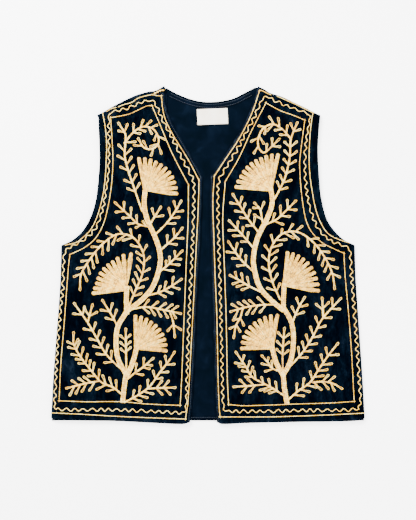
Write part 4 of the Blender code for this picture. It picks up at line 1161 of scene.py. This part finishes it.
def add_light(name, place, size, power, colour):
    """A large soft lamp that faces the middle of the floor."""
    lamp = bpy.data.lights.new(name, "AREA")
    lamp.shape = "RECTANGLE"
    lamp.size, lamp.size_y = size
    lamp.energy = power
    lamp.color = linear(colour)[:3]
    light = placed(name, lamp)
    light.location = place
    light.rotation_euler = (-Vector(place)).to_track_quat("-Z", "Y").to_euler()


def add_studio():
    """The white floor, the soft lamps, the pale surroundings and the camera straight above."""
    bpy.ops.mesh.primitive_grid_add(x_subdivisions=8, y_subdivisions=8, size=6, location=(0, 0, -0.0004))
    floor = bpy.context.object
    floor.name = "white_floor"
    floor.data.materials.append(backdrop_material())
    add_light("window", (-1.1, 1.5, 1.5), (1.4, 1.0), WINDOW_POWER, "#ffffff")
    add_light("fill", (1.6, -0.6, 1.4), (1.2, 1.2), FILL_POWER, "#fbfdff")
    world = bpy.data.worlds.new("pale studio")
    world.use_nodes = True
    background = world.node_tree.nodes["Background"].inputs
    background["Color"].default_value = linear("#ffffff")
    background["Strength"].default_value = SKY_STRENGTH
    bpy.context.scene.world = world
    lens = bpy.data.cameras.new("camera")
    lens.sensor_fit = "VERTICAL"
    lens.sensor_height = SENSOR
    lens.lens = SENSOR * CAMERA_HEIGHT / FRAME_TALL
    camera = placed("camera", lens)
    camera.location = (FRAME_CENTRE[0], FRAME_CENTRE[1], CAMERA_HEIGHT + FRONT_TOP * MM)
    bpy.context.scene.camera = camera


def main():
    """Build the vest piece by piece, and then its studio."""
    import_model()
    velvet = velvet_material()
    lining = lining_material()
    link = chain_link()
    straight = run_stitch()
    chain_tree = stitching_tree(link, yarn_material())
    sewing_tree = stitching_tree(straight, sewing_thread_material())

    back = back_shell(velvet)
    lining_cloth = back_lining(lining)
    facing = neck_facing(lining)
    neck_label(label_material())

    fronts = (
        ("right", (RIGHT_SIDE, RIGHT_ARMHOLE_LOW, RIGHT_ARMHOLE_HIGH, RIGHT_FRONT_LOW, RIGHT_FRONT_HIGH,
                   RIGHT_NECKLINE, RIGHT_HEM, RIGHT_SHOULDER), RIGHT_SWELLS, RIGHT_CREASES, SEAM_DROP,
         RIGHT_BOUGHS, RIGHT_FANS, RIGHT_SPRIGS, RIGHT_INNER_LINE, RIGHT_OUTER_LINE, (), RIGHT_WAVE,
         ("right_outer_line",)),
        ("left", (LEFT_SIDE, LEFT_ARMHOLE_LOW, LEFT_ARMHOLE_HIGH, LEFT_FRONT_LOW, LEFT_FRONT_HIGH,
                  LEFT_NECKLINE, LEFT_HEM, LEFT_SHOULDER), LEFT_SWELLS, LEFT_CREASES,
         FRONT_TOP - ROLL_EDGE, LEFT_BOUGHS, LEFT_FANS, LEFT_SPRIGS, LEFT_INNER_LINE,
         LEFT_OUTER_LINE + LEFT_ARMHOLE_LINE + LEFT_SHOULDER_LINE, LEFT_RIM_LINE, LEFT_WAVE,
         ("left_outer_line", "left_armhole_line")),
    )
    for seed, (side, edges, swells, crease_table, drop, boughs, fans, sprigs, inner, outer, rim,
               wave, line_nodes) in enumerate(fronts):
        stem_rows = line_rows(inner, LINE_ROW)
        leaf_rows = []
        for knots in boughs:
            stem_rows += bough_rows(knots)
        for sprig in sprigs.values():
            stem_rows.append(twig_row(*sprig[:3]))
            leaf_rows += leaflet_rows(*sprig)
        flower_rows = [row for fan in fans for row in fan_rows(*fan)]
        border_rows = line_rows(outer, LINE_ROW) + line_rows(rim, RIM_ROW)
        waves = wave_rows(wave)
        shell = front_shell(side + "_front_velvet", side + "_front", edges, swells, crease_table, drop,
                            stem_rows + leaf_rows + flower_rows + border_rows + waves, 11 + seed, velvet)
        surfaces = [surface_of(shell), surface_of(back)]
        embroider(side + "_vine_stitches", stem_rows, surfaces, chain_tree, 21 + seed, (side + "_vine",),
                  paler=0.3)
        embroider(side + "_leaf_stitches", leaf_rows, surfaces, chain_tree, 26 + seed, step=FINE_STEP)
        embroider(side + "_flower_stitches", flower_rows, surfaces, chain_tree, 31 + seed, paler=0.0)
        embroider(side + "_border_stitches", border_rows, surfaces, chain_tree, 41 + seed, line_nodes)
        embroider(side + "_wave_stitches", waves, surfaces, chain_tree, 51 + seed, step=FINE_STEP)
        inset = TOPSTITCH_INSET if side == "right" else -TOPSTITCH_INSET
        topstitch = [row_of(aside(smooth(knots, 2.0), inset), THREAD_WIDTH) for knots in edges[3:6]]
        sew(side + "_front_topstitch", topstitch, surfaces, sewing_tree, 61 + seed)

    embroider("back_shoulder_stitches", line_rows(BACK_SHOULDER_LINE, SHOULDER_ROW), [surface_of(back)],
              chain_tree, 71)
    neckline = divide(BACK_NECKLINE, np.linspace(0.09, 0.91, 80))
    sew("facing_topstitch", [row_of(aside(neckline, -inset), THREAD_WIDTH) for inset in FACING_SEAMS],
        [surface_of(facing)], sewing_tree, 72)
    # A short stretch of the lining's hem shows between the fronts.
    hem = np.array(((-26.0, BACK_HEM_Y + 5.0), (14.0, BACK_HEM_Y + 5.0)))
    sew("lining_hem_stitches", [row_of(at(hem, np.linspace(0, 40, 20)), THREAD_WIDTH)],
        [surface_of(lining_cloth)], sewing_tree, 73)
    bpy.data.objects.remove(link, do_unlink=True)
    bpy.data.objects.remove(straight, do_unlink=True)

    add_studio()


main()
